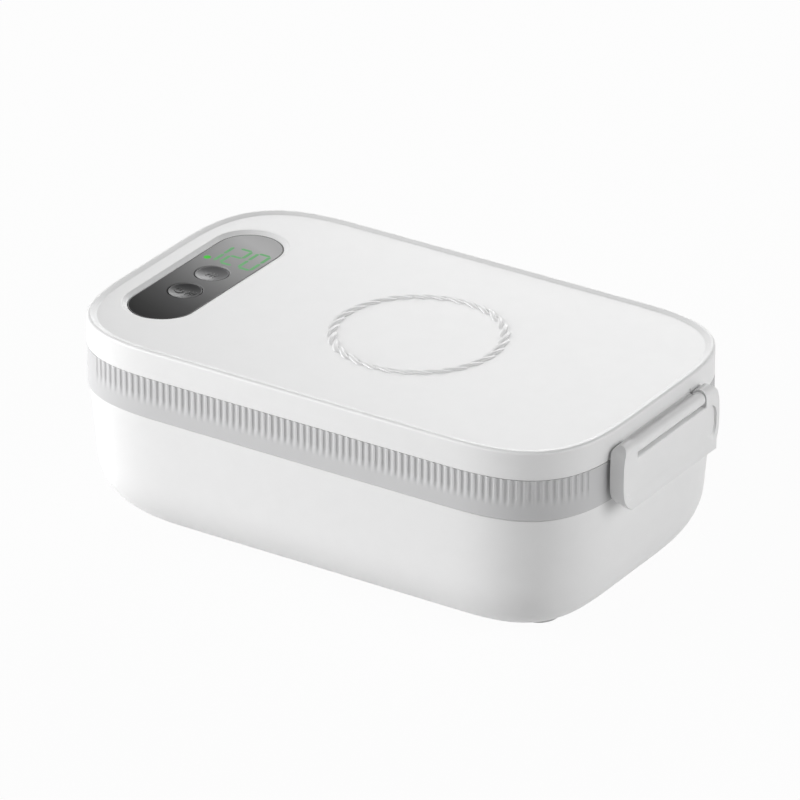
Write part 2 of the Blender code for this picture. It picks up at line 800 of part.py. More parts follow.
def flute_faces(maker, top_stations, low_ring):
    """The fluted wall: each flute is two facets that run out to a point."""
    for index, low in enumerate(low_ring):
        top = top_stations[index]
        previous = top_stations[index - 1]
        maker.faces.new((previous[-1], top[0], low, low_ring[index - 1]))
        for left, right in zip(top, top[1:]):
            maker.faces.new((left, right, low))


def collar_body():
    """The band's ring: fluted wall, deck with the container's seat, skirt round the casing's lip."""
    maker = bmesh.new()
    stations = band_stations()
    top_stations = [[maker.verts.new((*point, BAND_TOP)) for point in top] for top, low in stations]
    flute_end = [maker.verts.new((*low, BAND_TOP - FLUTE_HEIGHT)) for top, low in stations]
    bottom = [maker.verts.new((*low, BAND_BOTTOM)) for top, low in stations]
    flute_faces(maker, top_stations, flute_end)
    seat_level = BAND_TOP - FLANGE_SEAT_DEPTH
    step_level = CASING_TOP + LIP_HEIGHT + SEAT_GAP
    skirt_wall = CASING_INSET + CASING_WALL - LIP_WALL - SEAT_GAP
    seat_growth = FLANGE_WIDTH + FLANGE_GAP
    rows = (
        at_level(food_outline(seat_growth, SHELL_STEPS), BAND_TOP),
        at_level(food_outline(seat_growth, SHELL_STEPS), seat_level),
        at_level(food_outline(PAN_OPENING_GAP, SHELL_STEPS), seat_level),
        at_level(food_outline(PAN_OPENING_GAP, SHELL_STEPS), DECK_UNDERSIDE),
        at_level(body_outline(COLLAR_WALL, INNER_STEPS), DECK_UNDERSIDE),
        at_level(body_outline(COLLAR_WALL, INNER_STEPS), step_level),
        at_level(body_outline(skirt_wall, SHELL_STEPS), step_level),
        at_level(body_outline(skirt_wall, SHELL_STEPS), BAND_BOTTOM),
    )
    rings = [[vertex for top in top_stations for vertex in top]]
    rings += [[maker.verts.new(point) for point in row] for row in rows]
    rings += [bottom, flute_end]
    for low, high in zip(rings, rings[1:]):
        join_rings(maker, low, high)
    return finish("casing_collar", maker)


def pan_screw_places():
    return grid(PAN_SCREW_SPREAD, 2 * (FOOD_HALF_WIDTH + PAN_SCREW_REACH), (FOOD_X, 0.0))


def keeper():
    """Small ridge on the band that the latch snaps under."""
    wall = LID_LENGTH / 2
    top = LID_TOP - KEEPER_DROP
    profile = (
        (wall - OVERRUN, top - KEEPER_HEIGHT),
        (wall + KEEPER_REACH, top - KEEPER_HEIGHT),
        (wall + KEEPER_REACH, top - KEEPER_HEIGHT / 2),
        (wall, top),
        (wall - OVERRUN, top),
    )
    return prism("keeper", "Y", profile, -SNAP_WIDTH / 2, SNAP_WIDTH / 2)


def knuckle_spans(first):
    """Ends along Y of every second hinge knuckle, from the first one given."""
    pitch = HINGE_WIDTH / HINGE_KNUCKLES
    spans = []
    for index in range(first, HINGE_KNUCKLES, 2):
        low = index * pitch - HINGE_WIDTH / 2 + SEAT_GAP / 2
        spans.append((low, low + pitch - SEAT_GAP))
    return spans


def hinge_profile(side):
    """A knuckle's barrel with its web, which reaches up the lid's wall or down the band's."""
    centre = (HINGE_AXIS_X, HINGE_AXIS_Z)
    wall = -LID_LENGTH / 2 + LID_WALL / 2
    near = HINGE_AXIS_Z + side * SEAT_GAP / 2
    far = near + side * HINGE_WEB_HEIGHT
    points = []
    for x, z in arc(centre, HINGE_BARREL_RADIUS, math.pi / 3, FULL_TURN, BARREL_SIDES):
        points.append((x, HINGE_AXIS_Z + side * (z - HINGE_AXIS_Z)))
    points[-1] = (points[-1][0], near)
    points.append((wall, near))
    points.append((wall, far))
    return points


def hinge_knuckles(first, side):
    profile = hinge_profile(side)
    return [prism("knuckle", "Y", profile, low, high) for low, high in knuckle_spans(first)]


def hinge_bore():
    half = HINGE_WIDTH / 2 + OVERRUN
    centre = (HINGE_AXIS_X, HINGE_AXIS_Z)
    return rod("bore", HINGE_PIN_RADIUS + PIN_GAP, PIN_SIDES, centre, -half, half, "Y")


def casing_collar():
    collar = collar_body()
    add(collar, [keeper()] + hinge_knuckles(0, -1))
    tools = [hinge_bore()]
    hole_top = DECK_UNDERSIDE + SMALL_SCREW_BITE + SEAT_GAP
    for place_xy in pan_screw_places():
        tools.append(screw_hole(place_xy, DECK_UNDERSIDE - OVERRUN, hole_top))
    return cut(collar, tools)


def hinge_pin():
    centre = (HINGE_AXIS_X, HINGE_AXIS_Z)
    return rod("hinge_pin", HINGE_PIN_RADIUS, PIN_SIDES, centre, -HINGE_WIDTH / 2, HINGE_WIDTH / 2, "Y")


# Food container and heated pan


def tray_wall(growth, top, bottom):
    """Growths and levels of a tray's wall and bottom rounding; the growth moves it outward."""
    radius = CONTAINER_ROUND + growth
    points = [(growth, top)]
    for step in range(TRAY_ROUND_STEPS + 1):
        angle = QUARTER_TURN * step / TRAY_ROUND_STEPS
        inward = CONTAINER_DRAFT + radius * (1 - math.cos(angle))
        points.append((growth - inward, bottom + radius * (1 - math.sin(angle))))
    return points


def tray(name, growth, wall, flange, levels, steps):
    """Thin tray with a flat flange: the growth places its outer wall, the levels its two undersides."""
    flange_bottom, bottom = levels
    flange_top = flange_bottom + wall
    profile = list(reversed(tray_wall(growth, flange_bottom, bottom)))
    profile.append((flange, flange_bottom))
    profile.append((flange, flange_top))
    profile += tray_wall(growth - wall, flange_top, bottom + wall)
    return loft(name, [at_level(food_outline(grown, steps), level) for grown, level in profile])


def food_container():
    levels = (FLANGE_BOTTOM, CONTAINER_BOTTOM)
    return tray("food_container", 0.0, CONTAINER_WALL, FLANGE_WIDTH, levels, SHELL_STEPS)


def heater_pan():
    growth = PAN_AIR_GAP + PAN_WALL
    flange_bottom = PAN_FLANGE_TOP - PAN_WALL
    levels = (flange_bottom, PAN_BOTTOM)
    pan = tray("heater_pan", growth, PAN_WALL, PAN_FLANGE_REACH, levels, INNER_STEPS)
    holes = []
    for place_xy in pan_screw_places():
        holes.append(screw_hole(place_xy, flange_bottom - OVERRUN, PAN_FLANGE_TOP + OVERRUN))
    return cut(pan, holes)


def pan_screws():
    seat = PAN_FLANGE_TOP - PAN_WALL
    return screws("pan_screw", pan_screw_places(), seat, DECK_UNDERSIDE + SMALL_SCREW_BITE)


# Heater


def heating_plate():
    levels = (HEATER_PLATE_BOTTOM, HEATER_PLATE_TOP)
    return rod("heating_plate", HEATER_PLATE_RADIUS, DISC_SIDES, (FOOD_X, 0.0), *levels)


def tube_ends():
    """Angles of the heating tube's two ends, either side of the board."""
    half = HEATER_TUBE_SWEEP / 2
    return (-half, half)


def heating_tube():
    start, end = tube_ends()
    ring = arc((FOOD_X, 0.0), HEATER_TUBE_RING, start, end, HEATER_TUBE_STEPS)
    route = at_level(ring, HEATER_TUBE_Z)
    return curve_tube("heating_tube", route, HEATER_TUBE_RADIUS, HEATER_TUBE_RESOLUTION)


def thermostat():
    top = HEATER_PLATE_BOTTOM - SEAT_GAP
    return rod("thermostat", THERMOSTAT_RADIUS, BARREL_SIDES, (FOOD_X, 0.0), top - THERMOSTAT_HEIGHT, top)


def thermostat_strap():
    """Bent strip that holds the thermostat against the plate."""
    top = HEATER_PLATE_BOTTOM - SEAT_GAP
    bridge = top - THERMOSTAT_HEIGHT - SEAT_GAP
    inside = THERMOSTAT_RADIUS + SEAT_GAP
    outside = inside + STRAP_THICKNESS
    right = [
        (outside, bridge - STRAP_THICKNESS),
        (outside, top - STRAP_THICKNESS),
        (outside + STRAP_FOOT, top - STRAP_THICKNESS),
        (outside + STRAP_FOOT, top),
        (inside, top),
        (inside, bridge),
    ]
    left = [(-x, z) for x, z in reversed(right)]
    profile = [(FOOD_X + x, z) for x, z in right + left]
    return prism("thermostat_strap", "Y", profile, -STRAP_WIDTH / 2, STRAP_WIDTH / 2)


def thermal_fuse():
    centre = (FOOD_X + FUSE_OFFSET, HEATER_PLATE_BOTTOM - SEAT_GAP - FUSE_RADIUS)
    return rod("thermal_fuse", FUSE_RADIUS, PIN_SIDES, centre, -FUSE_LENGTH / 2, FUSE_LENGTH / 2, "Y")


def insulation_pad():
    outline = rounded_box(PAD_LENGTH / 2, PAD_WIDTH / 2, PAD_CORNER, EDGE_STEPS, (FOOD_X, 0.0))
    bottom = COVER_TOP + SEAT_GAP
    return prism("insulation_pad", "Z", outline, bottom, bottom + PAD_THICKNESS)


# Power board


def standoff_places():
    return [(POWER_BOARD_X, side * STANDOFF_SPREAD / 2) for side in BOTH_SIDES]


def power_board():
    half_length = POWER_BOARD_LENGTH / 2
    half_width = POWER_BOARD_WIDTH / 2
    outline = rounded_box(half_length, half_width, BOARD_CORNER, 1, (POWER_BOARD_X, 0.0))
    holes = [circle(SCREW_RADIUS + SCREW_GAP, SCREW_SIDES, place_xy) for place_xy in standoff_places()]
    return prism("power_board", "Z", outline, POWER_BOARD_BOTTOM, POWER_BOARD_TOP, holes)


def power_board_screws():
    depth = BOARD_THICKNESS + SEAT_GAP + SMALL_SCREW_BITE
    seat = POWER_BOARD_TOP + SEAT_GAP
    profile = (
        (SCREW_RADIUS, POWER_BOARD_TOP - depth),
        (SCREW_RADIUS, seat),
        (SCREW_HEAD_RADIUS, seat),
        (SCREW_HEAD_RADIUS, seat + SCREW_HEAD_HEIGHT),
    )
    places = enumerate(standoff_places())
    return [turned(numbered("power_board_screw", index), profile, SCREW_SIDES, xy) for index, xy in places]


def transformer():
    centre = (POWER_BOARD_X, -TRANSFORMER_OFFSET)
    outline = rounded_box(TRANSFORMER_LENGTH / 2, TRANSFORMER_WIDTH / 2, BOARD_CORNER, 1, centre)
    bottom = POWER_BOARD_TOP + SEAT_GAP
    return prism("transformer", "Z", outline, bottom, bottom + TRANSFORMER_HEIGHT)


def capacitor():
    centre = (CAPACITOR_OFFSET, POWER_BOARD_TOP + SEAT_GAP + CAPACITOR_RADIUS)
    low = POWER_BOARD_X - CAPACITOR_LENGTH / 2
    return rod("capacitor", CAPACITOR_RADIUS, PIN_SIDES, centre, low, low + CAPACITOR_LENGTH, "X")


# Power inlet


def inlet_face():
    """Where the inlet's outer face lies, just inside the casing's wall."""
    return wall_inset(INLET_HEIGHT + INLET_TALL / 2) - LID_LENGTH / 2 + INLET_SUNK


def inlet_flange_front():
    """Where the inlet's flange lies, clear of the casing's inner wall below the hole."""
    return wall_inset(INLET_HEIGHT - INLET_TALL) + CASING_WALL + SEAT_GAP - LID_LENGTH / 2


def socket_outline():
    """Two round lobes joined by a waist."""
    half_pitch = SOCKET_PIN_PITCH / 2
    turn = math.pi - math.asin(SOCKET_WAIST / 2 / SOCKET_LOBE_RADIUS)
    right = arc((half_pitch, INLET_HEIGHT), SOCKET_LOBE_RADIUS, -turn, turn, LOBE_STEPS)
    left = [(-y, 2 * INLET_HEIGHT - z) for y, z in right]
    return right + left


def inlet_housing():
    """Socket body that passes out through the casing's wall, with a flange behind the wall."""
    face = inlet_face()
    back = face + INLET_DEPTH
    flange_front = inlet_flange_front()
    flange_back = flange_front + INLET_FLANGE_THICKNESS
    levels = (
        (-SEAT_GAP, back),
        (-SEAT_GAP, flange_back),
        (INLET_FLANGE, flange_back),
        (INLET_FLANGE, flange_front),
        (-SEAT_GAP, flange_front),
        (-SEAT_GAP, face),
    )
    rings = [[place("X", point, x) for point in inlet_outline(growth)] for growth, x in levels]
    rings.append([place("X", point, face) for point in socket_outline()])
    rings.append([place("X", point, face + SOCKET_DEPTH) for point in socket_outline()])
    housing = loft("inlet_housing", rings)
    bores = []
    for side in BOTH_SIDES:
        centre = (side * SOCKET_PIN_PITCH / 2, INLET_HEIGHT)
        low = face + SOCKET_DEPTH - OVERRUN
        bores.append(rod("bore", SOCKET_PIN_RADIUS + PIN_GAP, PIN_SIDES, centre, low, back + OVERRUN, "X"))
    return cut(housing, bores)


def inlet_pins():
    pins = []
    floor = inlet_face() + SOCKET_DEPTH
    tail = inlet_face() + INLET_DEPTH + SOCKET_TAIL_LENGTH
    for side, name in zip(BOTH_SIDES, ("inlet_pin_front", "inlet_pin_back")):
        centre = (side * SOCKET_PIN_PITCH / 2, INLET_HEIGHT)
        pins.append(rod(name, SOCKET_PIN_RADIUS, PIN_SIDES, centre, floor - SOCKET_PIN_LENGTH, tail, "X"))
    return pins


# Leads


def inlet_leads():
    """From the inlet pins' tails down the hinge end and under the pan to the power board."""
    start_x = inlet_face() + INLET_DEPTH + SOCKET_TAIL_LENGTH + SEAT_GAP
    turn_x = start_x + LEAD_BEND / 2
    run_z = (POWER_BOARD_TOP + PAN_BOTTOM) / 2
    end_x = POWER_BOARD_X - POWER_BOARD_LENGTH / 2 + LEAD_RADIUS + SEAT_GAP
    leads = []
    for side, name in zip(BOTH_SIDES, ("inlet_lead_front", "inlet_lead_back")):
        pin_y = side * SOCKET_PIN_PITCH / 2
        end_y = side * (STANDOFF_SPREAD / 2 - STANDOFF_RADIUS - LEAD_RADIUS - SEAT_GAP)
        points = (
            (start_x, pin_y, INLET_HEIGHT),
            (turn_x, pin_y, INLET_HEIGHT),
            (turn_x, pin_y, run_z),
            (end_x, end_y, run_z),
            (end_x, end_y, POWER_BOARD_TOP + SEAT_GAP),
        )
        route = rounded_route(points, LEAD_BEND, LEAD_STEPS)
        leads.append(curve_tube(name, route, LEAD_RADIUS, LEAD_RESOLUTION))
    return leads


def heater_leads():
    """From the heating tube's ends to the power board."""
    leads = []
    end_x = POWER_BOARD_X + POWER_BOARD_LENGTH / 2 - LEAD_RADIUS - SEAT_GAP
    for angle, name in zip(tube_ends(), ("heater_lead_front", "heater_lead_back")):
        side = math.copysign(1, angle)
        onward = (-side * math.sin(angle), side * math.cos(angle))
        end_of_tube = (FOOD_X + HEATER_TUBE_RING * math.cos(angle), HEATER_TUBE_RING * math.sin(angle))
        start_x = end_of_tube[0] + onward[0] * SEAT_GAP
        start_y = end_of_tube[1] + onward[1] * SEAT_GAP
        turn_x = start_x + onward[0] * LEAD_BEND / 2
        turn_y = start_y + onward[1] * LEAD_BEND / 2
        points = (
            (start_x, start_y, HEATER_TUBE_Z),
            (turn_x, turn_y, HEATER_TUBE_Z),
            (end_x, turn_y, HEATER_TUBE_Z),
            (end_x, turn_y, POWER_BOARD_TOP + SEAT_GAP),
        )
        route = rounded_route(points, LEAD_BEND / 2, LEAD_STEPS)
        leads.append(curve_tube(name, route, LEAD_RADIUS, LEAD_RESOLUTION))
    return leads


# Lid cover


def lid_shell():
    """Lid with a raised rim round its top and a skirt that meets the band."""
    profile = [
        (RIM_WIDTH + RIM_SLOPE, LID_SURFACE),
        (RIM_WIDTH, LID_TOP),
    ]
    for step in range(EDGE_STEPS + 1):
        angle = QUARTER_TURN * step / EDGE_STEPS
        inset = LID_EDGE_ROUND * (1 - math.sin(angle))
        profile.append((inset, LID_TOP - LID_EDGE_ROUND * (1 - math.cos(angle))))
    profile.append((0.0, LID_BOTTOM))
    profile.append((LID_WALL, LID_BOTTOM))
    profile.append((LID_WALL, LID_UNDERSIDE - LID_INNER_ROUND))
    profile.append((LID_WALL + LID_INNER_ROUND, LID_UNDERSIDE))
    return loft("lid_cover", [at_level(body_outline(inset, SHELL_STEPS), z) for inset, z in profile])


def rope_ring():
    """Ring of twisted strands, half sunk in the lid's top."""
    maker = bmesh.new()
    sections = ROPE_TURNS * ROPE_STEPS_PER_TURN
    points = ROPE_STRANDS * ROPE_POINTS_PER_STRAND
    rings = []
    for section in range(sections):
        along = FULL_TURN * section / sections
        twist = ROPE_TURNS * along
        ring = []
        for point in range(points):
            turn = FULL_TURN * point / points
            groove = ROPE_GROOVE_SHARE * (1 - abs(math.cos(ROPE_STRANDS * turn / 2)))
            across = (1 - groove) * math.cos(turn + twist)
            rise = (1 - groove) * math.sin(turn + twist)
            radius = ROPE_RADIUS + across * ROPE_WIDTH / 2
            level = LID_SURFACE - ROPE_SUNK + rise * ROPE_THICKNESS / 2
            position = (FOOD_X + radius * math.cos(along), radius * math.sin(along), level)
            ring.append(maker.verts.new(position))
        rings.append(ring)
    for index, ring in enumerate(rings):
        join_rings(maker, rings[index - 1], ring)
    return finish("rope", maker)


def latch_barrel():
    """Round bar between the latch's ears, with a web below it to the lid's wall."""
    half = LATCH_WIDTH / 2 - LATCH_EAR_WIDTH - SEAT_GAP
    centre = (LATCH_AXIS_X, LATCH_AXIS_Z)
    wall = (LID_LENGTH - LID_WALL - LATCH_RECESS_DEPTH) / 2
    web_bottom = LATCH_AXIS_Z - LATCH_BARREL_RADIUS
    web_top = web_bottom + LATCH_WEB_THICKNESS
    start = math.pi + math.asin((LATCH_AXIS_Z - web_top) / LATCH_BARREL_RADIUS)
    profile = arc(centre, LATCH_BARREL_RADIUS, start, -QUARTER_TURN, BARREL_SIDES)
    profile.append((wall, web_bottom))
    profile.append((wall, web_top))
    return prism("barrel", "Y", profile, -half, half)


def latch_recess():
    """Sunk field in the lid's end wall, between the latch's ears and behind the bar."""
    wall = LID_LENGTH / 2
    profile = (
        (wall - LATCH_RECESS_DEPTH, LATCH_AXIS_Z - LATCH_BARREL_RADIUS + LATCH_WEB_THICKNESS / 2),
        (wall + OVERRUN, LATCH_AXIS_Z - LATCH_BARREL_RADIUS + LATCH_WEB_THICKNESS / 2),
        (wall + OVERRUN, LID_TOP - LATCH_RECESS_DROP),
        (wall - LATCH_RECESS_DEPTH, LID_TOP - LATCH_RECESS_DROP),
    )
    half = LATCH_WIDTH / 2 - LATCH_EAR_WIDTH
    return prism("recess", "Y", profile, -half, half)


def latch_bore(half_width):
    centre = (LATCH_AXIS_X, LATCH_AXIS_Z)
    return rod("bore", LATCH_PIN_RADIUS + PIN_GAP, PIN_SIDES, centre, -half_width, half_width, "Y")


def control_screw_places():
    return grid(CONTROL_SCREW_SPREAD_X, CONTROL_SCREW_SPREAD_Y, (PANEL_X, 0.0))


def liner_screw_places():
    return grid(LINER_SCREW_SPREAD, LID_WIDTH - 2 * LINER_SCREW_INSET, (FOOD_X, 0.0))


def lid_additions():
    """Everything moulded onto the lid's shell."""
    roof = LID_UNDERSIDE + OVERRUN
    frame_growth = SEAT_GAP + PANEL_FRAME_WALL
    parts = [rope_ring(), latch_barrel()]
    parts += hinge_knuckles(1, 1)
    parts.append(prism("frame", "Z", panel_outline(frame_growth), LEDGE_BOTTOM, roof))
    for place_xy in control_screw_places():
        parts.append(rod("boss", BOSS_RADIUS, PIN_SIDES, place_xy, CONTROL_BOARD_TOP + SEAT_GAP, roof))
    for place_xy in liner_screw_places():
        parts.append(rod("boss", BOSS_RADIUS, PIN_SIDES, place_xy, LINER_TOP + SEAT_GAP, roof))
    return parts


def panel_opening():
    """Sloped rim, the lens's pocket and the window through its ledge."""
    above = LID_SURFACE + OVERRUN
    levels = (
        (SEAT_GAP + PANEL_BEVEL, above),
        (SEAT_GAP + PANEL_BEVEL, LID_SURFACE - PANEL_LIP),
        (SEAT_GAP, LENS_TOP),
        (SEAT_GAP, LEDGE_TOP),
        (-PANEL_LEDGE, LEDGE_TOP),
        (-PANEL_LEDGE, LEDGE_BOTTOM - OVERRUN),
    )
    return loft("panel_opening", [at_level(panel_outline(growth), z) for growth, z in levels])


def lid_cutters():
    tools = [panel_opening(), hinge_bore(), latch_bore(LATCH_WIDTH / 2)]
    for place_xy in control_screw_places():
        low = CONTROL_BOARD_TOP
        tools.append(screw_hole(place_xy, low, low + SMALL_SCREW_BITE + 2 * SEAT_GAP))
    for place_xy in liner_screw_places():
        low = LINER_TOP
        tools.append(screw_hole(place_xy, low, low + SCREW_BITE + 2 * SEAT_GAP))
    return tools


def lid_cover():
    cover = cut(lid_shell(), [latch_recess()])
    add(cover, lid_additions())
    return cut(cover, lid_cutters())


def lid_liner():
    """Plate that closes the lid from below, with a groove for the seal."""
    edge = LID_WALL + SEAT_GAP
    groove_top = LINER_BOTTOM + SEAL_GROOVE
    inner = SEAL_REACH - SEAT_GAP
    outer = SEAL_REACH + SEAL_WIDTH + SEAT_GAP
    rings = (
        at_level(food_outline(inner, INNER_STEPS), LINER_BOTTOM),
        at_level(food_outline(inner, INNER_STEPS), groove_top),
        at_level(food_outline(outer, INNER_STEPS), groove_top),
        at_level(food_outline(outer, INNER_STEPS), LINER_BOTTOM),
        at_level(body_outline(edge, SHELL_STEPS), LINER_BOTTOM),
        at_level(body_outline(edge, SHELL_STEPS), LINER_TOP),
    )
    liner = loft("lid_liner", rings)
    tools = []
    for place_xy in liner_screw_places():
        tools.append(screw_hole(place_xy, LINER_BOTTOM - OVERRUN, LINER_TOP + OVERRUN))
    for place_xy in liner_screw_places():
        seat = LINER_BOTTOM + LINER_SCREW_SINK
        radius = SCREW_HEAD_RADIUS + SCREW_GAP
        cutter = rod("sink", radius, SCREW_SIDES, place_xy, LINER_BOTTOM - OVERRUN, seat)
        cut(liner, [cutter])
    return cut(liner, tools)


def liner_screws():
    seat = LINER_BOTTOM + LINER_SCREW_SINK
    return screws("liner_screw", liner_screw_places(), seat, LINER_TOP + SEAT_GAP + SCREW_BITE)


def lid_seal():
    """Ring that presses on the container's flange."""
    top = LINER_BOTTOM + SEAL_GROOVE - SEAT_GAP
    bottom = FLANGE_BOTTOM + CONTAINER_WALL + SEAT_GAP
    inner = SEAL_REACH
    outer = SEAL_REACH + SEAL_WIDTH
    section = (
        (inner, top),
        (outer, top),
        (outer, bottom + SEAL_CHAMFER),
        (outer - SEAL_CHAMFER, bottom),
        (inner + SEAL_CHAMFER, bottom),
        (inner, bottom + SEAL_CHAMFER),
    )
    rings = [at_level(food_outline(growth, INNER_STEPS), z) for growth, z in section]
    return loft("lid_seal", rings, joined=True)


# Panel, keys and control board


def panel_lens():
    holes = [circle(KEY_RADIUS + KEY_SIDE_GAP, KEY_SIDES, (PANEL_X, y)) for name, y in KEY_PLACES]
    return prism("panel_lens", "Z", panel_outline(0.0), LENS_BOTTOM, LENS_TOP, holes)


def key(name, y):
    """Dished key cap with a flange under the lens and a stem over its switch."""
    flange_top = LENS_BOTTOM - SEAT_GAP
    flange_bottom = flange_top - KEY_FLANGE_THICKNESS
    stem_bottom = SWITCH_TOP + KEY_TRAVEL + KEY_STOP_GAP
    roof = KEY_TOP - KEY_DISH - KEY_ROOF
    dish_radius = KEY_RADIUS - KEY_RIM
    profile = []
    for step in range(1, ARC_STEPS):
        share = step / (ARC_STEPS - 1)
        profile.append((dish_radius * share, KEY_TOP - KEY_DISH * (1 - share * share)))
    profile += [
        (KEY_RADIUS, KEY_TOP - KEY_RIM / 2),
        (KEY_RADIUS, flange_top),
        (KEY_RADIUS + KEY_FLANGE, flange_top),
        (KEY_RADIUS + KEY_FLANGE, flange_bottom),
        (KEY_RADIUS - KEY_SKIRT_WALL, flange_bottom),
        (KEY_RADIUS - KEY_SKIRT_WALL, roof),
        (KEY_STEM_RADIUS, roof),
        (KEY_STEM_RADIUS, stem_bottom),
    ]
    return turned(name, profile, KEY_SIDES, (PANEL_X, y))


def key_switch(name, y):
    """Tactile switch: a square body with a round cap."""
    half = SWITCH_SIZE / 2
    body_top = SWITCH_BOTTOM + SWITCH_HEIGHT
    square = rounded_box(half, half, SWITCH_CORNER, 1, (PANEL_X, y))
    cap = circle(SWITCH_CAP_RADIUS, PIN_SIDES, (PANEL_X, y))
    rings = (
        at_level(square, SWITCH_BOTTOM),
        at_level(square, body_top),
        at_level(cap, body_top),
        at_level(cap, SWITCH_TOP),
    )
    return loft(name, rings)


def control_board():
    half_width = CONTROL_BOARD_WIDTH / 2
    half_length = CONTROL_BOARD_LENGTH / 2
    outline = rounded_box(half_width, half_length, BOARD_CORNER, 1, (PANEL_X, 0.0))
    holes = [circle(SCREW_RADIUS + SCREW_GAP, SCREW_SIDES, place_xy) for place_xy in control_screw_places()]
    return prism("control_board", "Z", outline, CONTROL_BOARD_BOTTOM, CONTROL_BOARD_TOP, holes)


def control_screws():
    places = control_screw_places()
    point_level = CONTROL_BOARD_TOP + SEAT_GAP + SMALL_SCREW_BITE
    return screws("control_screw", places, CONTROL_BOARD_BOTTOM, point_level, THIN_HEAD_HEIGHT)


def display_module():
    outline = rounded_box(DISPLAY_WIDTH / 2, DISPLAY_LENGTH / 2, DISPLAY_CORNER, 1, (PANEL_X, DISPLAY_Y))
    return prism("display_module", "Z", outline, DISPLAY_BOTTOM, DISPLAY_BOTTOM + DISPLAY_HEIGHT)


# Latch


def latch_side_profile():
    """The latch seen from its end: ear, front face, flared tip and stepped back edge, as (x, z)."""
    wall = LID_LENGTH / 2
    centre = (LATCH_AXIS_X, LATCH_AXIS_Z)
    front = LATCH_AXIS_X + LATCH_EAR_RADIUS
    tip_x = wall + LATCH_TIP_REACH
    tip_z = LID_TOP - LATCH_TIP_DROP
    points = arc(centre, LATCH_EAR_RADIUS, math.pi, 0.0, BARREL_SIDES // 2)
    flare_start = (front, LID_TOP - LATCH_FLARE_DROP)
    flare_corner = (front, tip_z)
    flare_end = (tip_x, tip_z)
    for step in range(ARC_STEPS + 1):
        points.append(curve_point(flare_start, flare_corner, flare_end, step / ARC_STEPS))
    points.append((tip_x - LATCH_TIP_THICKNESS / 2, tip_z - LATCH_TIP_THICKNESS / 2))
    points.append((front - LATCH_TIP_THICKNESS, tip_z - LATCH_TIP_THICKNESS / 2))
    points.append((wall + LATCH_SHIN_REACH, LID_TOP - LATCH_SHIN_DROP))
    points.append((wall + (LATCH_BACK_REACH + LATCH_SHIN_REACH) / 2, LID_TOP - LATCH_SHIN_DROP))
    points.append((wall + LATCH_BACK_REACH, LID_TOP - LATCH_BACK_END_DROP))
    points.append((wall + LATCH_BACK_REACH, LATCH_AXIS_Z - LATCH_EAR_RADIUS))
    return points


def corner_arc(corner, size, side_z):
    """Rounds an outer corner: size is its (width, height), side_z says which way its centre lies."""
    centre = (corner[0] - size[0], corner[1] + side_z * size[1])
    points = []
    for step in range(ARC_STEPS + 1):
        angle = QUARTER_TURN * step / ARC_STEPS
        points.append((centre[0] + size[0] * math.cos(angle), centre[1] - side_z * size[1] * math.sin(angle)))
    return points


def cornered_side(half, bottom, top, lower, upper):
    """The +Y side of a field seen from the front, from its bottom to its top, as (y, z)."""
    return corner_arc((half, bottom), lower, 1)[::-1] + corner_arc((half, top), upper, -1)


def mirrored(side):
    """A whole outline from its +Y side."""
    return side + [(-y, z) for y, z in reversed(side)]


def latch_front_outline():
    """The latch seen from the front, with the notch between its ears, as (y, z)."""
    half = LATCH_WIDTH / 2
    top = LATCH_AXIS_Z + LATCH_EAR_RADIUS + OVERRUN
    bottom = LID_TOP - LATCH_TIP_DROP - LATCH_TIP_THICKNESS
    lower = (LATCH_LOWER_CORNER_WIDTH, LATCH_LOWER_CORNER_HEIGHT)
    upper = (LATCH_UPPER_CORNER_WIDTH, LATCH_UPPER_CORNER_HEIGHT)
    side = cornered_side(half, bottom, top, lower, upper)
    side.append((half - LATCH_EAR_WIDTH, top))
    side.append((half - LATCH_EAR_WIDTH, LID_TOP - LATCH_NOTCH_DROP))
    return mirrored(side)


def latch_cutters():
    """The hollow behind the plate, the plate's sunk face and the pin's bore."""
    wall = LID_LENGTH / 2
    front = LATCH_AXIS_X + LATCH_EAR_RADIUS
    face = front - LATCH_BORDER_DEPTH
    notch = LID_TOP - LATCH_NOTCH_DROP
    bottom = LID_TOP - LATCH_TIP_DROP - LATCH_TIP_THICKNESS
    lower = (LATCH_LOWER_CORNER_WIDTH, LATCH_LOWER_CORNER_HEIGHT)
    upper = (LATCH_HOLLOW_CORNER, LATCH_HOLLOW_CORNER)
    hollow = cornered_side(LATCH_WIDTH / 2 - LATCH_SIDE_WALL, bottom, notch, lower, upper)
    sunk_bottom = LID_TOP - LATCH_FLARE_DROP
    sunk_width = LATCH_LOWER_CORNER_WIDTH - LATCH_BORDER
    sunk_height = LATCH_LOWER_CORNER_HEIGHT - (sunk_bottom - bottom)
    sunk = cornered_side(LATCH_WIDTH / 2 - LATCH_BORDER, sunk_bottom, notch - LATCH_BORDER_TOP,
                         (sunk_width, sunk_height), (sunk_width, sunk_width))
    return [
        prism("hollow", "X", mirrored(hollow), wall, face - LATCH_PLATE_THICKNESS),
        prism("sunk_face", "X", mirrored(sunk), face, front + LATCH_TIP_REACH),
        latch_bore(LATCH_WIDTH / 2 - LATCH_PIN_INSET),
    ]


def snap_bead():
    """Ridge inside the plate that clicks past the band's keeper."""
    wall = LID_LENGTH / 2
    plate_back = LATCH_AXIS_X + LATCH_EAR_RADIUS - LATCH_BORDER_DEPTH - LATCH_PLATE_THICKNESS
    top = LID_TOP - KEEPER_DROP - KEEPER_HEIGHT - SEAT_GAP
    tip = wall + KEEPER_REACH + SEAT_GAP
    profile = (
        (plate_back + OVERRUN, top - KEEPER_HEIGHT),
        (plate_back + OVERRUN, top),
        (tip, top),
        (tip, top - KEEPER_HEIGHT / 2),
        (plate_back, top - KEEPER_HEIGHT),
    )
    return prism("bead", "Y", profile, -SNAP_WIDTH / 2, SNAP_WIDTH / 2)


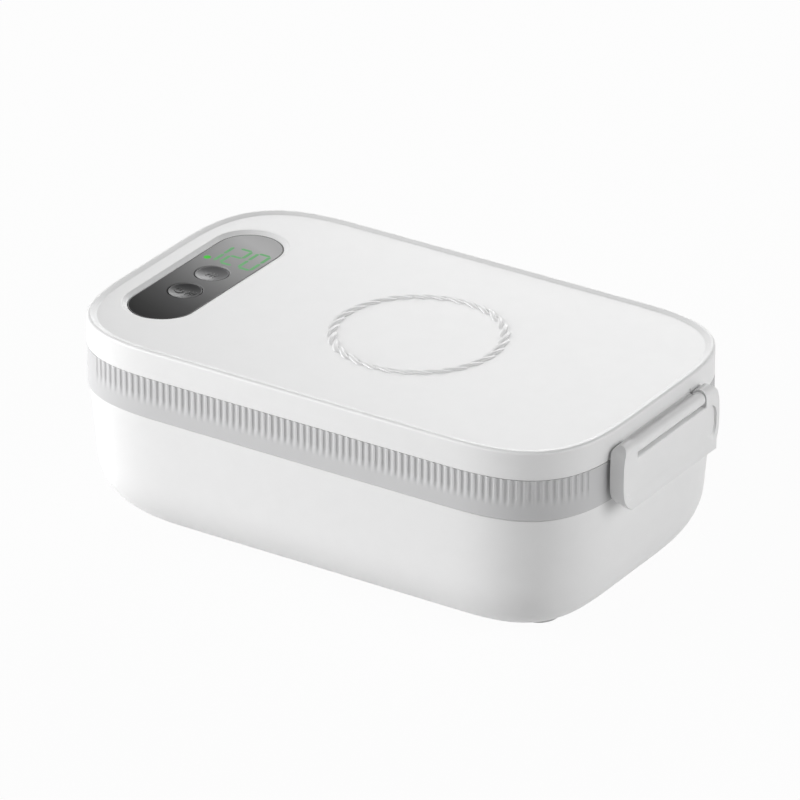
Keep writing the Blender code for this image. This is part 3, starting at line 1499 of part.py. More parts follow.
def latch():
    half = LATCH_WIDTH / 2
    wall = LID_LENGTH / 2
    plate = prism("latch", "Y", latch_side_profile(), -half, half)
    front = prism("front", "X", latch_front_outline(), wall, wall + LATCH_TIP_REACH + OVERRUN)
    combine(plate, front, "INTERSECT")
    cut(plate, latch_cutters())
    return add(plate, [snap_bead()])


def latch_pin():
    half = LATCH_WIDTH / 2 - LATCH_PIN_INSET - SEAT_GAP
    centre = (LATCH_AXIS_X, LATCH_AXIS_Z)
    return rod("latch_pin", LATCH_PIN_RADIUS, PIN_SIDES, centre, -half, half, "Y")


# Materials


def material(name, colour, roughness, metallic=0.0):
    surface = bpy.data.materials.new(name)
    surface.use_nodes = True
    shader = surface.node_tree.nodes["Principled BSDF"]
    shader.inputs["Base Color"].default_value = (*colour, 1.0)
    shader.inputs["Roughness"].default_value = roughness
    shader.inputs["Metallic"].default_value = metallic
    surface.diffuse_color = (*colour, 1.0)
    surface.roughness = roughness
    surface.metallic = metallic
    return surface


def white_plastic(name):
    return material(name, (0.84, 0.84, 0.84), 0.42)


def band_plastic(name):
    return material(name, (0.52, 0.52, 0.53), 0.5)


def dark_plastic(name):
    return material(name, (0.03, 0.03, 0.032), 0.5)


def key_plastic(name):
    return material(name, (0.16, 0.16, 0.17), 0.18)


def lens_plastic(name):
    return material(name, (0.03, 0.03, 0.032), 0.08)


def rubber(name):
    return material(name, (0.62, 0.62, 0.62), 0.8)


def seal_silicone(name):
    return material(name, (0.72, 0.73, 0.74), 0.6)


def stainless(name):
    return material(name, (0.62, 0.62, 0.63), 0.28, 1.0)


def aluminium(name):
    return material(name, (0.7, 0.71, 0.72), 0.4, 1.0)


def steel(name):
    return material(name, (0.45, 0.45, 0.46), 0.35, 1.0)


def brass(name):
    return material(name, (0.66, 0.48, 0.2), 0.3, 1.0)


def felt(name):
    return material(name, (0.75, 0.72, 0.62), 0.95)


def board_laminate(name):
    return material(name, (0.05, 0.2, 0.09), 0.5)


def display_plastic(name):
    return material(name, (0.1, 0.35, 0.12), 0.4)


def lead_sleeve(name):
    return material(name, (0.5, 0.06, 0.04), 0.5)


def dress(parts, make_material):
    """Gives each part its own material and its smooth and sharp edges."""
    for part in parts:
        part.data.materials.clear()
        part.data.materials.append(make_material(part.name))
        if part.type == "MESH":
            part.data.shade_smooth()
            part.data.set_sharp_from_angle(angle=SHARP_ANGLE)
    return parts


# Assembly


def pivot(name, position, parent=None):
    """An empty on a joint's axis."""
    axis = bpy.data.objects.new(name, None)
    bpy.context.scene.collection.objects.link(axis)
    axis.location = position
    if parent:
        carry(parent, position, axis)
    return axis


def carry(parent, position, child):
    """Parents a child, whose location is a world place, to an empty at the position given."""
    child.parent = parent
    child.location = tuple(own - base for own, base in zip(child.location, position_of(parent)))


def position_of(empty):
    """World place of an empty whose parents are unturned."""
    x, y, z = empty.location
    above = empty.parent
    while above:
        x += above.location.x
        y += above.location.y
        z += above.location.z
        above = above.parent
    return (x, y, z)


def base_parts():
    dress([casing_shell(), base_cover()], white_plastic)
    dress([casing_collar()], band_plastic)
    dress(feet(), rubber)
    dress([food_container()], stainless)
    dress([heater_pan(), heating_plate()], aluminium)
    dress([heating_tube(), thermostat(), thermostat_strap(), hinge_pin()], steel)
    dress(base_screws() + pan_screws() + power_board_screws(), steel)
    dress([thermal_fuse(), insulation_pad()], felt)
    dress([power_board()], board_laminate)
    dress([transformer(), capacitor(), inlet_housing()], dark_plastic)
    dress(inlet_pins(), brass)
    dress(inlet_leads() + heater_leads(), lead_sleeve)


def lid_parts():
    switches = [key_switch(name + "_switch", y) for name, y in KEY_PLACES]
    parts = dress([lid_cover(), lid_liner()], white_plastic)
    parts += dress(liner_screws() + control_screws(), steel)
    parts += dress([lid_seal()], seal_silicone)
    parts += dress([panel_lens()], lens_plastic)
    parts += dress([control_board()], board_laminate)
    parts += dress([display_module()], display_plastic)
    parts += dress(switches, dark_plastic)
    return parts


def latch_parts():
    return dress([latch()], white_plastic) + dress([latch_pin()], steel)


def assemble():
    base_parts()
    lid_place = (HINGE_AXIS_X, 0.0, HINGE_AXIS_Z)
    lid_axis = pivot("lid_axis", lid_place)
    for part in lid_parts():
        carry(lid_axis, lid_place, part)
    latch_place = (LATCH_AXIS_X, 0.0, LATCH_AXIS_Z)
    latch_axis = pivot("latch_axis", latch_place, lid_axis)
    for part in latch_parts():
        carry(latch_axis, latch_place, part)
    for name, y in KEY_PLACES:
        key_place = (PANEL_X, y, KEY_TOP)
        key_axis = pivot(name + "_axis", key_place, lid_axis)
        for cap in dress([key(name, y)], key_plastic):
            carry(key_axis, key_place, cap)


for leftover in list(bpy.data.objects):
    bpy.data.objects.remove(leftover)
assemble()
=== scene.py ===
"""Looks of the electric lunch box: fine shells, fluted band, latch, panel, keys and studio."""
from math import asin, atan, cos, dist, hypot, pi, radians, sin

import bmesh
import bpy
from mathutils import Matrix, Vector

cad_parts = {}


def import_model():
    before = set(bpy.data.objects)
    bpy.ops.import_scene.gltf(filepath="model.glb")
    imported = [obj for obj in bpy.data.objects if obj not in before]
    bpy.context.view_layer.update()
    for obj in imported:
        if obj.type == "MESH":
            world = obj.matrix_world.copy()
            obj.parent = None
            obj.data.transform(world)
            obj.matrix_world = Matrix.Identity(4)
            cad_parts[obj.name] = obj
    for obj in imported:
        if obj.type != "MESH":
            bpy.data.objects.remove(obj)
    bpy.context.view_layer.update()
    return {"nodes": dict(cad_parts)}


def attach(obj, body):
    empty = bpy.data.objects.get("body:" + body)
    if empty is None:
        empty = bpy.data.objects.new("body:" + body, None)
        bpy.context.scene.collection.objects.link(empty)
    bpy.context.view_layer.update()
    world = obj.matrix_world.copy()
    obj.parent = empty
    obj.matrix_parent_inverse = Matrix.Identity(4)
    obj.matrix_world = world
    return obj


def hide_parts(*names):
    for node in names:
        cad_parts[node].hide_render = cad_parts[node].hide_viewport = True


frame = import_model()

MM = 0.001

# Overall form, as in the frame
LID_LENGTH = 240.0 * MM
LID_WIDTH = 146.0 * MM
CORNER_REACH = 58.0 * MM
CORNER_POWER = 3.2
SEAT_GAP = 0.3 * MM
OVERRUN = 0.6 * MM
CASING_INSET = 0.8 * MM
CASING_DRAFT = 4.3 * MM
CASING_WALL = 2.6 * MM
CASING_FLOOR = 3.0 * MM
CASING_EDGE = 0.3 * MM
BOTTOM_ROUND_HEIGHT = 26.0 * MM
BOTTOM_ROUND_REACH = 24.5 * MM
LIP_HEIGHT = 6.0 * MM
LIP_WALL = 1.3 * MM

# Levels
CASING_BOTTOM = 2.2 * MM
CASING_TOP = 59.7 * MM
BAND_BOTTOM = 60.0 * MM
BAND_TOP = 77.6 * MM
DECK_UNDERSIDE = 73.6 * MM
LID_BOTTOM = 77.9 * MM
LINER_BOTTOM = 78.7 * MM
LINER_TOP = 80.7 * MM
LID_UNDERSIDE = 87.0 * MM
LID_SURFACE = 89.2 * MM
LID_TOP = 90.0 * MM

# Underside
COVER_LENGTH = 148.0 * MM
COVER_WIDTH = 56.0 * MM
COVER_CORNER = 12.0 * MM
COVER_LEDGE = 8.0 * MM
COVER_TOP = 3.8 * MM
COVER_SEAT = 4.1 * MM
COVER_EDGE = 0.4 * MM
COVER_PANEL_INSET = 9.0 * MM
COVER_PANEL_DEPTH = 0.4 * MM
COVER_SCREWS = (140.4 * MM, 34.0 * MM)
FOOT_RADIUS = 9.0 * MM
FOOT_TOP = 3.4 * MM
FOOT_ROUND = 0.9 * MM
FOOT_GROOVE = 0.5 * MM
FOOT_RING_SHARE = 0.62
FEET = (172.0 * MM, 63.4 * MM)

# Screws
SCREW_HEAD_RADIUS = 2.3 * MM
SCREW_HEAD_HEIGHT = 1.2 * MM
SCREW_DOME_SHARE = 0.55
SCREW_RADIUS = 1.2 * MM
SCREW_BITE = 3.6 * MM
SCREW_RECESS = (0.55 * MM, 2.9 * MM, 0.8 * MM)

# Band
COLLAR_WALL = 2.4 * MM
FLUTE_PITCH = 3.05 * MM
FLUTE_WIDTH = 2.1 * MM
FLUTE_DEPTH = 0.44 * MM
FLUTE_HEIGHT = 12.4 * MM
FLUTE_FADE = 5.6 * MM
FLUTE_FADE_STEPS = 8
FLUTE_COLUMNS = 7
FLUTE_FULLNESS = 0.8
SMOOTH_LATCH_WIDTH = 90.0 * MM
SMOOTH_HINGE_WIDTH = 134.0 * MM
SMOOTH_END_STEPS = 64
BAND_EDGE = 0.3 * MM
BAND_LOWER_EDGE = 0.75 * MM
KEEPER_TOP = 67.6 * MM
KEEPER_HEIGHT = 2.2 * MM
KEEPER_REACH = 1.2 * MM
KEEPER_BOTTOM = KEEPER_TOP - KEEPER_HEIGHT
SNAP_WIDTH = 40.0 * MM

# Food opening
FOOD_X = 8.9 * MM
FOOD_LENGTH = 192.2 * MM
FOOD_WIDTH = 116.0 * MM
CONTAINER_CORNER = 44.0 * MM
FLANGE_WIDTH = 5.0 * MM
FLANGE_GAP = 0.4 * MM
FLANGE_SEAT_DEPTH = 1.6 * MM
FLANGE_BOTTOM = 76.3 * MM
CONTAINER_WALL = 0.8 * MM
CONTAINER_DRAFT = 2.0 * MM
CONTAINER_ROUND = 14.0 * MM
CONTAINER_BOTTOM = 18.5 * MM
PAN_OPENING_GAP = 1.6 * MM
SEAL_REACH = 1.9 * MM
SEAL_WIDTH = 2.6 * MM
SEAL_BOTTOM = 77.4 * MM
SEAL_TOP = 79.4 * MM
SEAL_LIP_SHARE = 0.6
LINER_GROOVE = 1.0 * MM
LINER_FIELD = (8.0 * MM, 7.4 * MM, 6.8 * MM)
LINER_SCREWS = (140.0 * MM, 132.6 * MM)
LINER_SCREW_SINK = 1.0 * MM

# Lid
LID_WALL = 2.4 * MM
LID_EDGE_ROUND = 1.25 * MM
LID_INNER_ROUND = 1.5 * MM
LID_SKIRT_ROUND = 0.25 * MM
RIM_FLAT = 1.45 * MM
RIM_WIDTH = 3.9 * MM
RIM_STEP = (0.9 * MM, 0.3 * MM)

# Rope ring
ROPE_RADIUS = 34.6 * MM
ROPE_WIDTH = 4.7 * MM
ROPE_THICKNESS = 2.4 * MM
ROPE_SUNK = 0.4 * MM
ROPE_STRANDS = 3
ROPE_TURNS = 10
ROPE_GROOVE_SHARE = 0.5
ROPE_SECTIONS = 300
ROPE_POINTS = 36

# Panel
PANEL_X = -93.5 * MM
PANEL_WIDTH = 28.4 * MM
PANEL_LENGTH = 89.7 * MM
PANEL_BEVEL = 1.6 * MM
PANEL_LIP = 0.8 * MM
LENS_TOP = 88.0 * MM
LENS_BOTTOM = 86.4 * MM
LENS_EDGE = 0.2 * MM
LEDGE_TOP = 86.1 * MM
LEDGE_BOTTOM = 85.0 * MM
PANEL_LEDGE = 1.6 * MM
PANEL_FRAME = 2.1 * MM

# Display
INLAY_PROUD = 0.02 * MM
INLAY_SUNK = 0.2 * MM
DIGIT_PLACES = (-102.6 * MM, -93.7 * MM, -84.8 * MM)
DIGITS = ("bc", "abged", "abcdef")
DIGIT_Y = 22.0 * MM
DIGIT_WIDTH = 5.8 * MM
DIGIT_HEIGHT = 15.2 * MM
SEGMENT_WIDTH = 1.5 * MM
SEGMENT_GAP = 0.2 * MM
SPOT = (-103.6 * MM, 15.6 * MM)
SPOT_RADIUS = 1.5 * MM

# Keys
KEY_RADIUS = 7.15 * MM
KEY_SIDE_GAP = 0.25 * MM
KEY_PLACES = {"key_start": 4.1 * MM, "key_set": -15.1 * MM}
KEY_TOP = 87.75 * MM
KEY_DISH = 0.9 * MM
KEY_RIM = 0.5 * MM
KEY_FLANGE = 1.0 * MM
KEY_FLANGE_TOP = 86.1 * MM
KEY_FLANGE_BOTTOM = 85.2 * MM
KEY_SKIRT_WALL = 0.8 * MM
KEY_ROOF = 1.0 * MM
KEY_DISH_STEPS = 14
ICON_RADIUS = 1.8 * MM
ICON_LINE = 0.45 * MM
ICON_LENGTH = 3.4 * MM
ICON_REACH = 2.8 * MM
ICON_RING_START = 125.0
ICON_RING_SWEEP = 290.0
ICON_BAR = (0.35, 0.7, 1.1)
LENS_GAP_SHADE_WIDTH = 0.35 * MM
# Slant and span of the painted reflection across the lens
LENS_PAINTED_REFLECTION_SLANT = 0.38
LENS_PAINTED_REFLECTION_SPAN = (-76.0 * MM, 8.0 * MM)

# Latch
LATCH_WIDTH = 72.4 * MM
LATCH_AXIS_X = 123.8 * MM
LATCH_AXIS_Z = 81.3 * MM
LATCH_EAR_RADIUS = 3.4 * MM
LATCH_EAR_WIDTH = 10.2 * MM
LATCH_BAR_X = 124.0 * MM
LATCH_BAR_Z = 81.0 * MM
LATCH_BAR_RADIUS = 2.9 * MM
LATCH_WEB_TOP = 82.3 * MM
LATCH_RECESS_DEPTH = 0.6 * MM
LATCH_RECESS_TOP = 84.3 * MM
LATCH_RECESS_ROUND = 0.2 * MM
LATCH_PIN_INSET = 3.6 * MM
LATCH_BORE = 1.4 * MM
LATCH_PIN = 1.2 * MM
LATCH_NOTCH = 77.6 * MM
LATCH_TIP_REACH = 8.6 * MM
LATCH_TIP_Z = 57.8 * MM
LATCH_BOTTOM_Z = 57.4 * MM
LATCH_TIP_THICKNESS = 1.2 * MM
LATCH_BACK_REACH = 0.9 * MM
LATCH_BACK_END_Z = 62.6 * MM
LATCH_SHIN_REACH = 4.6 * MM
LATCH_SHIN_Z = 60.4 * MM
LATCH_FLARE_Z = 61.0 * MM
LATCH_FLARE_BEND = (0.3 * MM, 59.3 * MM)
LATCH_PLATE_THICKNESS = 2.2 * MM
LATCH_SIDE_WALL = 2.2 * MM
LATCH_BORDER = 2.2 * MM
LATCH_BORDER_DEPTH = 0.5 * MM
LATCH_SUNK_DEPTH = 1.0 * MM
LATCH_SUNK_FADE = 1.8 * MM
LATCH_NOTCH_ROUND = 0.9 * MM
LATCH_BORDER_TOP = 0.7 * MM
LATCH_LOWER_CORNER = (7.0 * MM, 11.8 * MM)
LATCH_UPPER_CORNER = (5.8 * MM, 11.0 * MM)
LATCH_HOLLOW_CORNER = 2.0 * MM
LATCH_EDGE = 0.2 * MM

# Hinge
HINGE_X = -124.8 * MM
HINGE_Z = 77.75 * MM
HINGE_BARREL_RADIUS = 3.8 * MM
HINGE_PIN = 1.5 * MM
HINGE_BORE = 1.7 * MM
HINGE_WIDTH = 68.0 * MM
HINGE_KNUCKLES = 5
HINGE_WEB_HEIGHT = 7.6 * MM
HINGE_EDGE = 0.4 * MM

# Inlet
INLET_Z = 40.0 * MM
INLET_WIDTH = 27.0 * MM
INLET_TALL = 15.0 * MM
INLET_CORNER = 3.0 * MM
INLET_SUNK = 0.3 * MM
INLET_DEPTH = 17.5 * MM
INLET_EDGE = 0.4 * MM
INLET_FLANGE = 2.2 * MM
INLET_FLANGE_THICKNESS = 1.6 * MM
SOCKET_LOBE_RADIUS = 4.2 * MM
SOCKET_PIN_PITCH = 8.6 * MM
SOCKET_WAIST = 6.2 * MM
SOCKET_DEPTH = 12.5 * MM
SOCKET_PIN_RADIUS = 1.2 * MM
SOCKET_PIN_LENGTH = 9.5 * MM
SOCKET_TAIL = 4.0 * MM

# Fineness
SHELL_STEPS = 28
ROUND_STEPS = 14
EDGE_STEPS = 5
STADIUM_STEPS = 24
ARC_STEPS = 12
PATH_STEPS = 90
SIDES = 48
BARREL_SIDES = 32
FULL_TURN = 2 * pi
QUARTER_TURN = pi / 2
QUARTER_SIGNS = ((1, 1), (-1, 1), (-1, -1), (1, -1))
BOTH_SIDES = (-1, 1)
SAME_POINT = 0.001 * MM
NO_STRETCH = (1.0, 1.0, 1.0)
PURE_WHITE = (1.0, 1.0, 1.0, 1.0)
NOISE_MIDDLE = (0.3, 0.7)
SHARP_ANGLE = radians(35.0)

# Faces that several pieces share
LID_END = LID_LENGTH / 2
LATCH_AXIS = (LATCH_AXIS_X, LATCH_AXIS_Z)
LATCH_FRONT = LATCH_AXIS_X + LATCH_EAR_RADIUS
HINGE_AXIS = (HINGE_X, HINGE_Z)

# Camera and studio
CAMERA_AZIMUTH = radians(33.027)
CAMERA_ELEVATION = radians(26.357)
CAMERA_DISTANCE = 2.9386
CAMERA_TARGET = Vector((0.035846, -0.054903, LID_TOP))
CAMERA_LENS = 338.28
CAMERA_SENSOR = 36.0
CAMERA_CLIP = (0.1, 20.0)
FLOOR_HALF = 4.0
FLOOR_COLOUR = 0.62
FLOOR_WHITE_SHARE = 0.96
WORLD_LEVEL = 0.06
# Name, azimuth, elevation, distance, size, level
LIGHTS = (
    ("light_left", -58.0, 12.0, 2.4, 1.7, 1.15),
    ("light_front", -30.0, 15.0, 2.4, 1.7, 0.31),
    ("light_right", 90.0, 26.0, 2.4, 1.4, 0.345),
    ("light_right_low", 112.0, 12.0, 2.4, 1.4, 0.255),
    ("light_back", 203.0, 22.0, 1.8, 0.9, 0.36),
)


# Outlines


def without_repeats(points):
    kept = []
    for point in points:
        if not kept or dist(point, kept[-1]) > SAME_POINT:
            kept.append(point)
    if dist(kept[0], kept[-1]) < SAME_POINT:
        kept.pop()
    return kept


def rounded_box(length, width, corner, growth, steps, centre=(0.0, 0.0), power=2.0):
    """A grown rectangle with four equal corners: round ones at power 2, fuller ones above it."""
    half_length = length / 2 + growth
    half_width = width / 2 + growth
    corner += growth
    points = []
    for quarter, (side_x, side_y) in enumerate(QUARTER_SIGNS):
        for step in range(steps + 1):
            angle = (quarter + step / steps) * QUARTER_TURN
            reach_x = abs(cos(angle)) ** (2 / power)
            reach_y = abs(sin(angle)) ** (2 / power)
            x = centre[0] + side_x * (half_length - corner * (1 - reach_x))
            y = centre[1] + side_y * (half_width - corner * (1 - reach_y))
            points.append((x, y))
    return without_repeats(points)


def arc(centre, radius, start, end, steps):
    angles = [start + (end - start) * step / steps for step in range(steps + 1)]
    return [(centre[0] + radius * cos(turn), centre[1] + radius * sin(turn)) for turn in angles]


def circle(radius, sides, centre=(0.0, 0.0)):
    return arc(centre, radius, 0.0, FULL_TURN * (sides - 1) / sides, sides - 1)


def body_outline(inset, steps=SHELL_STEPS):
    return rounded_box(LID_LENGTH, LID_WIDTH, CORNER_REACH, -inset, steps, power=CORNER_POWER)


def food_outline(growth):
    centre = (FOOD_X, 0.0)
    return rounded_box(FOOD_LENGTH, FOOD_WIDTH, CONTAINER_CORNER, growth, SHELL_STEPS, centre, CORNER_POWER)


def panel_outline(growth):
    return rounded_box(PANEL_WIDTH, PANEL_LENGTH, PANEL_WIDTH / 2, growth, STADIUM_STEPS, (PANEL_X, 0.0))


def cover_outline(inset):
    return rounded_box(COVER_LENGTH, COVER_WIDTH, COVER_CORNER, -inset, 2 * EDGE_STEPS)


def inlet_outline(growth):
    return rounded_box(INLET_WIDTH, INLET_TALL, INLET_CORNER, growth, EDGE_STEPS, (0.0, INLET_Z))


def place(axis, point, level):
    if axis == "X":
        return (level, point[0], point[1])
    if axis == "Y":
        return (point[0], level, point[1])
    return (point[0], point[1], level)


def at_level(outline, level, axis="Z"):
    return [place(axis, point, level) for point in outline]


def rings_of(outline, profile, axis="Z"):
    """One ring for each (offset, level) of a profile, from a function that offsets an outline."""
    return [at_level(outline(offset), level, axis) for offset, level in profile]


def grid(spread_x, spread_y, centre=(0.0, 0.0)):
    return [(centre[0] + x * spread_x / 2, centre[1] + y * spread_y / 2) for x, y in QUARTER_SIGNS]


def curve_point(start, corner, end, share):
    rest = 1 - share
    weights = (rest * rest, 2 * rest * share, share * share)
    rows = zip(start, corner, end)
    return tuple(sum(weight * value for weight, value in zip(weights, row)) for row in rows)


def bend(start, corner, end, steps=EDGE_STEPS):
    return [curve_point(start, corner, end, step / steps) for step in range(steps + 1)]


# Meshes


def add_object(name, data):
    holder = bpy.data.objects.new(name, data)
    bpy.context.scene.collection.objects.link(holder)
    return holder


def evaluated_mesh(holder):
    graph = bpy.context.evaluated_depsgraph_get()
    return bpy.data.meshes.new_from_object(holder.evaluated_get(graph))


def finish(name, maker):
    bmesh.ops.recalc_face_normals(maker, faces=maker.faces)
    mesh = bpy.data.meshes.new(name)
    maker.to_mesh(mesh)
    maker.free()
    return add_object(name, mesh)


def ring_edges(maker, ring):
    pairs = zip([ring[-1], *ring], ring)
    return [maker.edges.get(pair) or maker.edges.new(pair) for pair in pairs]


def join_rings(maker, low, high):
    if len(low) == len(high):
        for index in range(len(low)):
            maker.faces.new((low[index - 1], low[index], high[index], high[index - 1]))
        return
    edges = ring_edges(maker, low) + ring_edges(maker, high)
    bmesh.ops.triangle_fill(maker, use_beauty=True, edges=edges)


def close_ring(maker, ring):
    bmesh.ops.triangle_fill(maker, use_beauty=True, edges=ring_edges(maker, ring))


def loft(name, rings, joined=False):
    """A solid through a row of rings: its ends are closed, or joined to each other."""
    maker = bmesh.new()
    loops = [[maker.verts.new(point) for point in ring] for ring in rings]
    for low, high in zip(loops, loops[1:]):
        join_rings(maker, low, high)
    if joined:
        join_rings(maker, loops[-1], loops[0])
    else:
        close_ring(maker, loops[0])
        close_ring(maker, loops[-1])
    return finish(name, maker)


def prism(name, axis, outline, low, high, holes=()):
    maker = bmesh.new()
    edges = []
    for ring in (outline, *holes):
        corners = [maker.verts.new(place(axis, point, low)) for point in ring]
        edges += ring_edges(maker, corners)
    bmesh.ops.triangle_fill(maker, use_beauty=True, edges=edges)
    grown = bmesh.ops.extrude_face_region(maker, geom=list(maker.faces))
    moved = [item for item in grown["geom"] if isinstance(item, bmesh.types.BMVert)]
    bmesh.ops.translate(maker, verts=moved, vec=place(axis, (0.0, 0.0), high - low))
    return finish(name, maker)


def turned(name, profile, sides, centre, axis="Z"):
    return loft(name, rings_of(lambda radius: circle(radius, sides, centre), profile, axis))


def rod(name, radius, centre, low, high, axis="Z", sides=SIDES):
    return turned(name, ((radius, low), (radius, high)), sides, centre, axis)


def group(name, solids):
    maker = bmesh.new()
    for solid in solids:
        maker.from_mesh(solid.data)
        bpy.data.objects.remove(solid)
    return finish(name, maker)


def combine(body, tool, operation):
    change = body.modifiers.new(operation.lower(), "BOOLEAN")
    change.operation = operation
    change.solver = "EXACT"
    change.object = tool
    result = evaluated_mesh(body)
    body.modifiers.clear()
    body.data = result
    bpy.data.objects.remove(tool)
    return body


def cut(body, tools):
    for tool in tools:
        combine(body, tool, "DIFFERENCE")
    return body


def tube(name, route, radius):
    """Round line along an open route, as a mesh."""
    data = bpy.data.curves.new(name, "CURVE")
    data.dimensions = "3D"
    data.bevel_depth = radius
    data.bevel_resolution = 2
    data.use_fill_caps = True
    spline = data.splines.new("POLY")
    spline.points.add(len(route) - 1)
    for point, position in zip(spline.points, route):
        point.co = (*position, 1.0)
    curve = add_object(name, data)
    line = add_object(name, evaluated_mesh(curve))
    bpy.data.objects.remove(curve)
    return line


def round_edges(solid, width, segments=3):
    bevel = solid.modifiers.new("edges", "BEVEL")
    bevel.width = width
    bevel.segments = segments
    bevel.limit_method = "ANGLE"
    bevel.angle_limit = SHARP_ANGLE
    bevel.use_clamp_overlap = True
    return solid


def mount(solid, body, surface, nodes=()):
    """Gives a piece its material and smooth faces, and lets it ride on its body."""
    solid.data.materials.clear()
    solid.data.materials.append(surface)
    solid.data.shade_smooth()
    solid.data.set_sharp_from_angle(angle=SHARP_ANGLE)
    weights = solid.modifiers.new("weights", "WEIGHTED_NORMAL")
    weights.keep_sharp = True
    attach(solid, body)
    if nodes:
        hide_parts(*nodes)
    return solid


# Materials


def set_inputs(node, values):
    for name, value in values.items():
        node.inputs[name].default_value = value
    return node


class Surface:
    """A material whose colour, roughness and relief vary with the place on the piece."""

    def __init__(self, name, roughness, metallic=0.0):
        self.material = bpy.data.materials.new(name)
        self.material.use_nodes = True
        self.nodes = self.material.node_tree.nodes
        self.links = self.material.node_tree.links
        self.shader = self.nodes["Principled BSDF"]
        set_inputs(self.shader, {"Metallic": metallic, "Roughness": roughness})
        self.place = self.nodes.new("ShaderNodeTexCoord").outputs["Object"]

    def add(self, kind, values, source, socket="Vector"):
        """A new node with its constants set and one input linked."""
        node = set_inputs(self.nodes.new(kind), values)
        self.links.new(source, node.inputs[socket])
        return node

    def stretched(self, stretch, turn=(0.0, 0.0, 0.0)):
        values = {"Scale": stretch, "Rotation": turn}
        return self.add("ShaderNodeMapping", values, self.place).outputs["Vector"]

    def noise(self, scale, detail=2.0, stretch=NO_STRETCH):
        values = {"Scale": scale, "Detail": detail}
        return self.add("ShaderNodeTexNoise", values, self.stretched(stretch)).outputs["Fac"]

    def ramp(self, value, stops):
        """Colours the piece by a value: the stops hold places from 0 to 1 with their colours."""
        ramp = self.add("ShaderNodeValToRGB", {}, value, "Fac")
        elements = ramp.color_ramp.elements
        while len(elements) < len(stops):
            elements.new(1.0)
        for element, (stop, colour) in zip(elements, stops):
            element.position = stop
            element.color = (*colour, 1.0)
        self.links.new(ramp.outputs["Color"], self.shader.inputs["Base Color"])

    def spread(self, value, source, target):
        """Maps a value from one span to another."""
        values = {"From Min": source[0], "From Max": source[1], "To Min": target[0], "To Max": target[1]}
        return self.add("ShaderNodeMapRange", values, value, "Value").outputs["Result"]

    def vary_colour(self, colour, share, scale, stretch=NO_STRETCH):
        dark = tuple(part * (1 - share) for part in colour)
        light = tuple(min(part * (1 + share), 1.0) for part in colour)
        self.ramp(self.noise(scale, 3.0, stretch), tuple(zip(NOISE_MIDDLE, (dark, light))))

    def vary_roughness(self, low, high, scale, stretch=NO_STRETCH):
        value = self.spread(self.noise(scale, 3.0, stretch), NOISE_MIDDLE, (low, high))
        self.links.new(value, self.shader.inputs["Roughness"])

    def relief(self, height, distance):
        bump = self.add("ShaderNodeBump", {"Distance": distance}, height, "Height")
        self.links.new(bump.outputs["Normal"], self.shader.inputs["Normal"])


def plastic(name, colour, roughness, relief=0.004 * MM, shine=0.5):
    """Satin moulded plastic: faint mottling, a little orange peel and uneven gloss."""
    surface = Surface(name, roughness)
    set_inputs(surface.shader, {"Specular IOR Level": shine})
    surface.vary_colour(colour, share=0.006, scale=140.0)
    surface.vary_roughness(roughness - 0.02, roughness + 0.02, scale=420.0)
    surface.relief(surface.noise(scale=900.0, detail=3.0), relief)
    return surface.material


def brushed(name, colour, roughness, stretch, scale=420.0):
    surface = Surface(name, roughness, metallic=1.0)
    surface.vary_colour(colour, 0.08, scale, stretch)
    surface.vary_roughness(roughness - 0.06, roughness + 0.08, scale, stretch)
    surface.relief(surface.noise(scale, 4.0, stretch), distance=0.012 * MM)
    return surface.material


def fibre(name, colour):
    surface = Surface(name, roughness=0.95)
    surface.vary_colour(colour, share=0.18, scale=900.0, stretch=(1.0, 0.2, 1.0))
    surface.relief(surface.noise(scale=700.0, detail=5.0, stretch=(1.0, 0.25, 1.0)), distance=0.15 * MM)
    return surface.material


def laminate(name):
    """Green board with fine copper runs under the varnish."""
    surface = Surface(name, roughness=0.45)
    values = {
        "Color1": (0.02, 0.13, 0.05, 1.0),
        "Color2": (0.03, 0.17, 0.07, 1.0),
        "Mortar": (0.12, 0.30, 0.10, 1.0),
        "Scale": 190.0,
        "Mortar Size": 0.05,
    }
    lines = surface.add("ShaderNodeTexBrick", values, surface.place)
    surface.links.new(lines.outputs["Color"], surface.shader.inputs["Base Color"])
    surface.relief(lines.outputs["Fac"], distance=0.03 * MM)
    return surface.material


def reflection_painted_lens(name):
    """Dark smoked window with a painted reflection in its colour: grey at the display end, nearly black at
    the far end.
    """
    surface = Surface(name, roughness=0.12)
    # Painted reflection: the colour lightens toward the display end in place of a reflected soft light
    stops = (
        (0.00, (0.055, 0.055, 0.055)),
        (0.10, (0.076, 0.076, 0.076)),
        (0.24, (0.124, 0.124, 0.125)),
        (0.38, (0.205, 0.205, 0.206)),
        (0.50, (0.300, 0.300, 0.301)),
        (0.63, (0.420, 0.420, 0.421)),
        (0.80, (0.540, 0.540, 0.541)),
        (0.90, (0.645, 0.643, 0.645)),
        (1.00, (0.610, 0.608, 0.610)),
    )
    turn = surface.stretched(NO_STRETCH, (0.0, 0.0, atan(LENS_PAINTED_REFLECTION_SLANT)))
    along = surface.add("ShaderNodeSeparateXYZ", {}, turn).outputs["Y"]
    surface.ramp(surface.spread(along, LENS_PAINTED_REFLECTION_SPAN, (0.0, 1.0)), stops)
    set_inputs(surface.shader, {"Specular IOR Level": 0.0})
    surface.vary_roughness(0.10, 0.16, scale=40.0)
    return surface.material


def lit(name, colour, strength):
    surface = Surface(name, roughness=0.35)
    surface.vary_colour(colour, share=0.05, scale=300.0)
    glow = {"Specular IOR Level": 0.0, "Emission Color": (*colour, 1.0), "Emission Strength": strength}
    set_inputs(surface.shader, glow)
    return surface.material


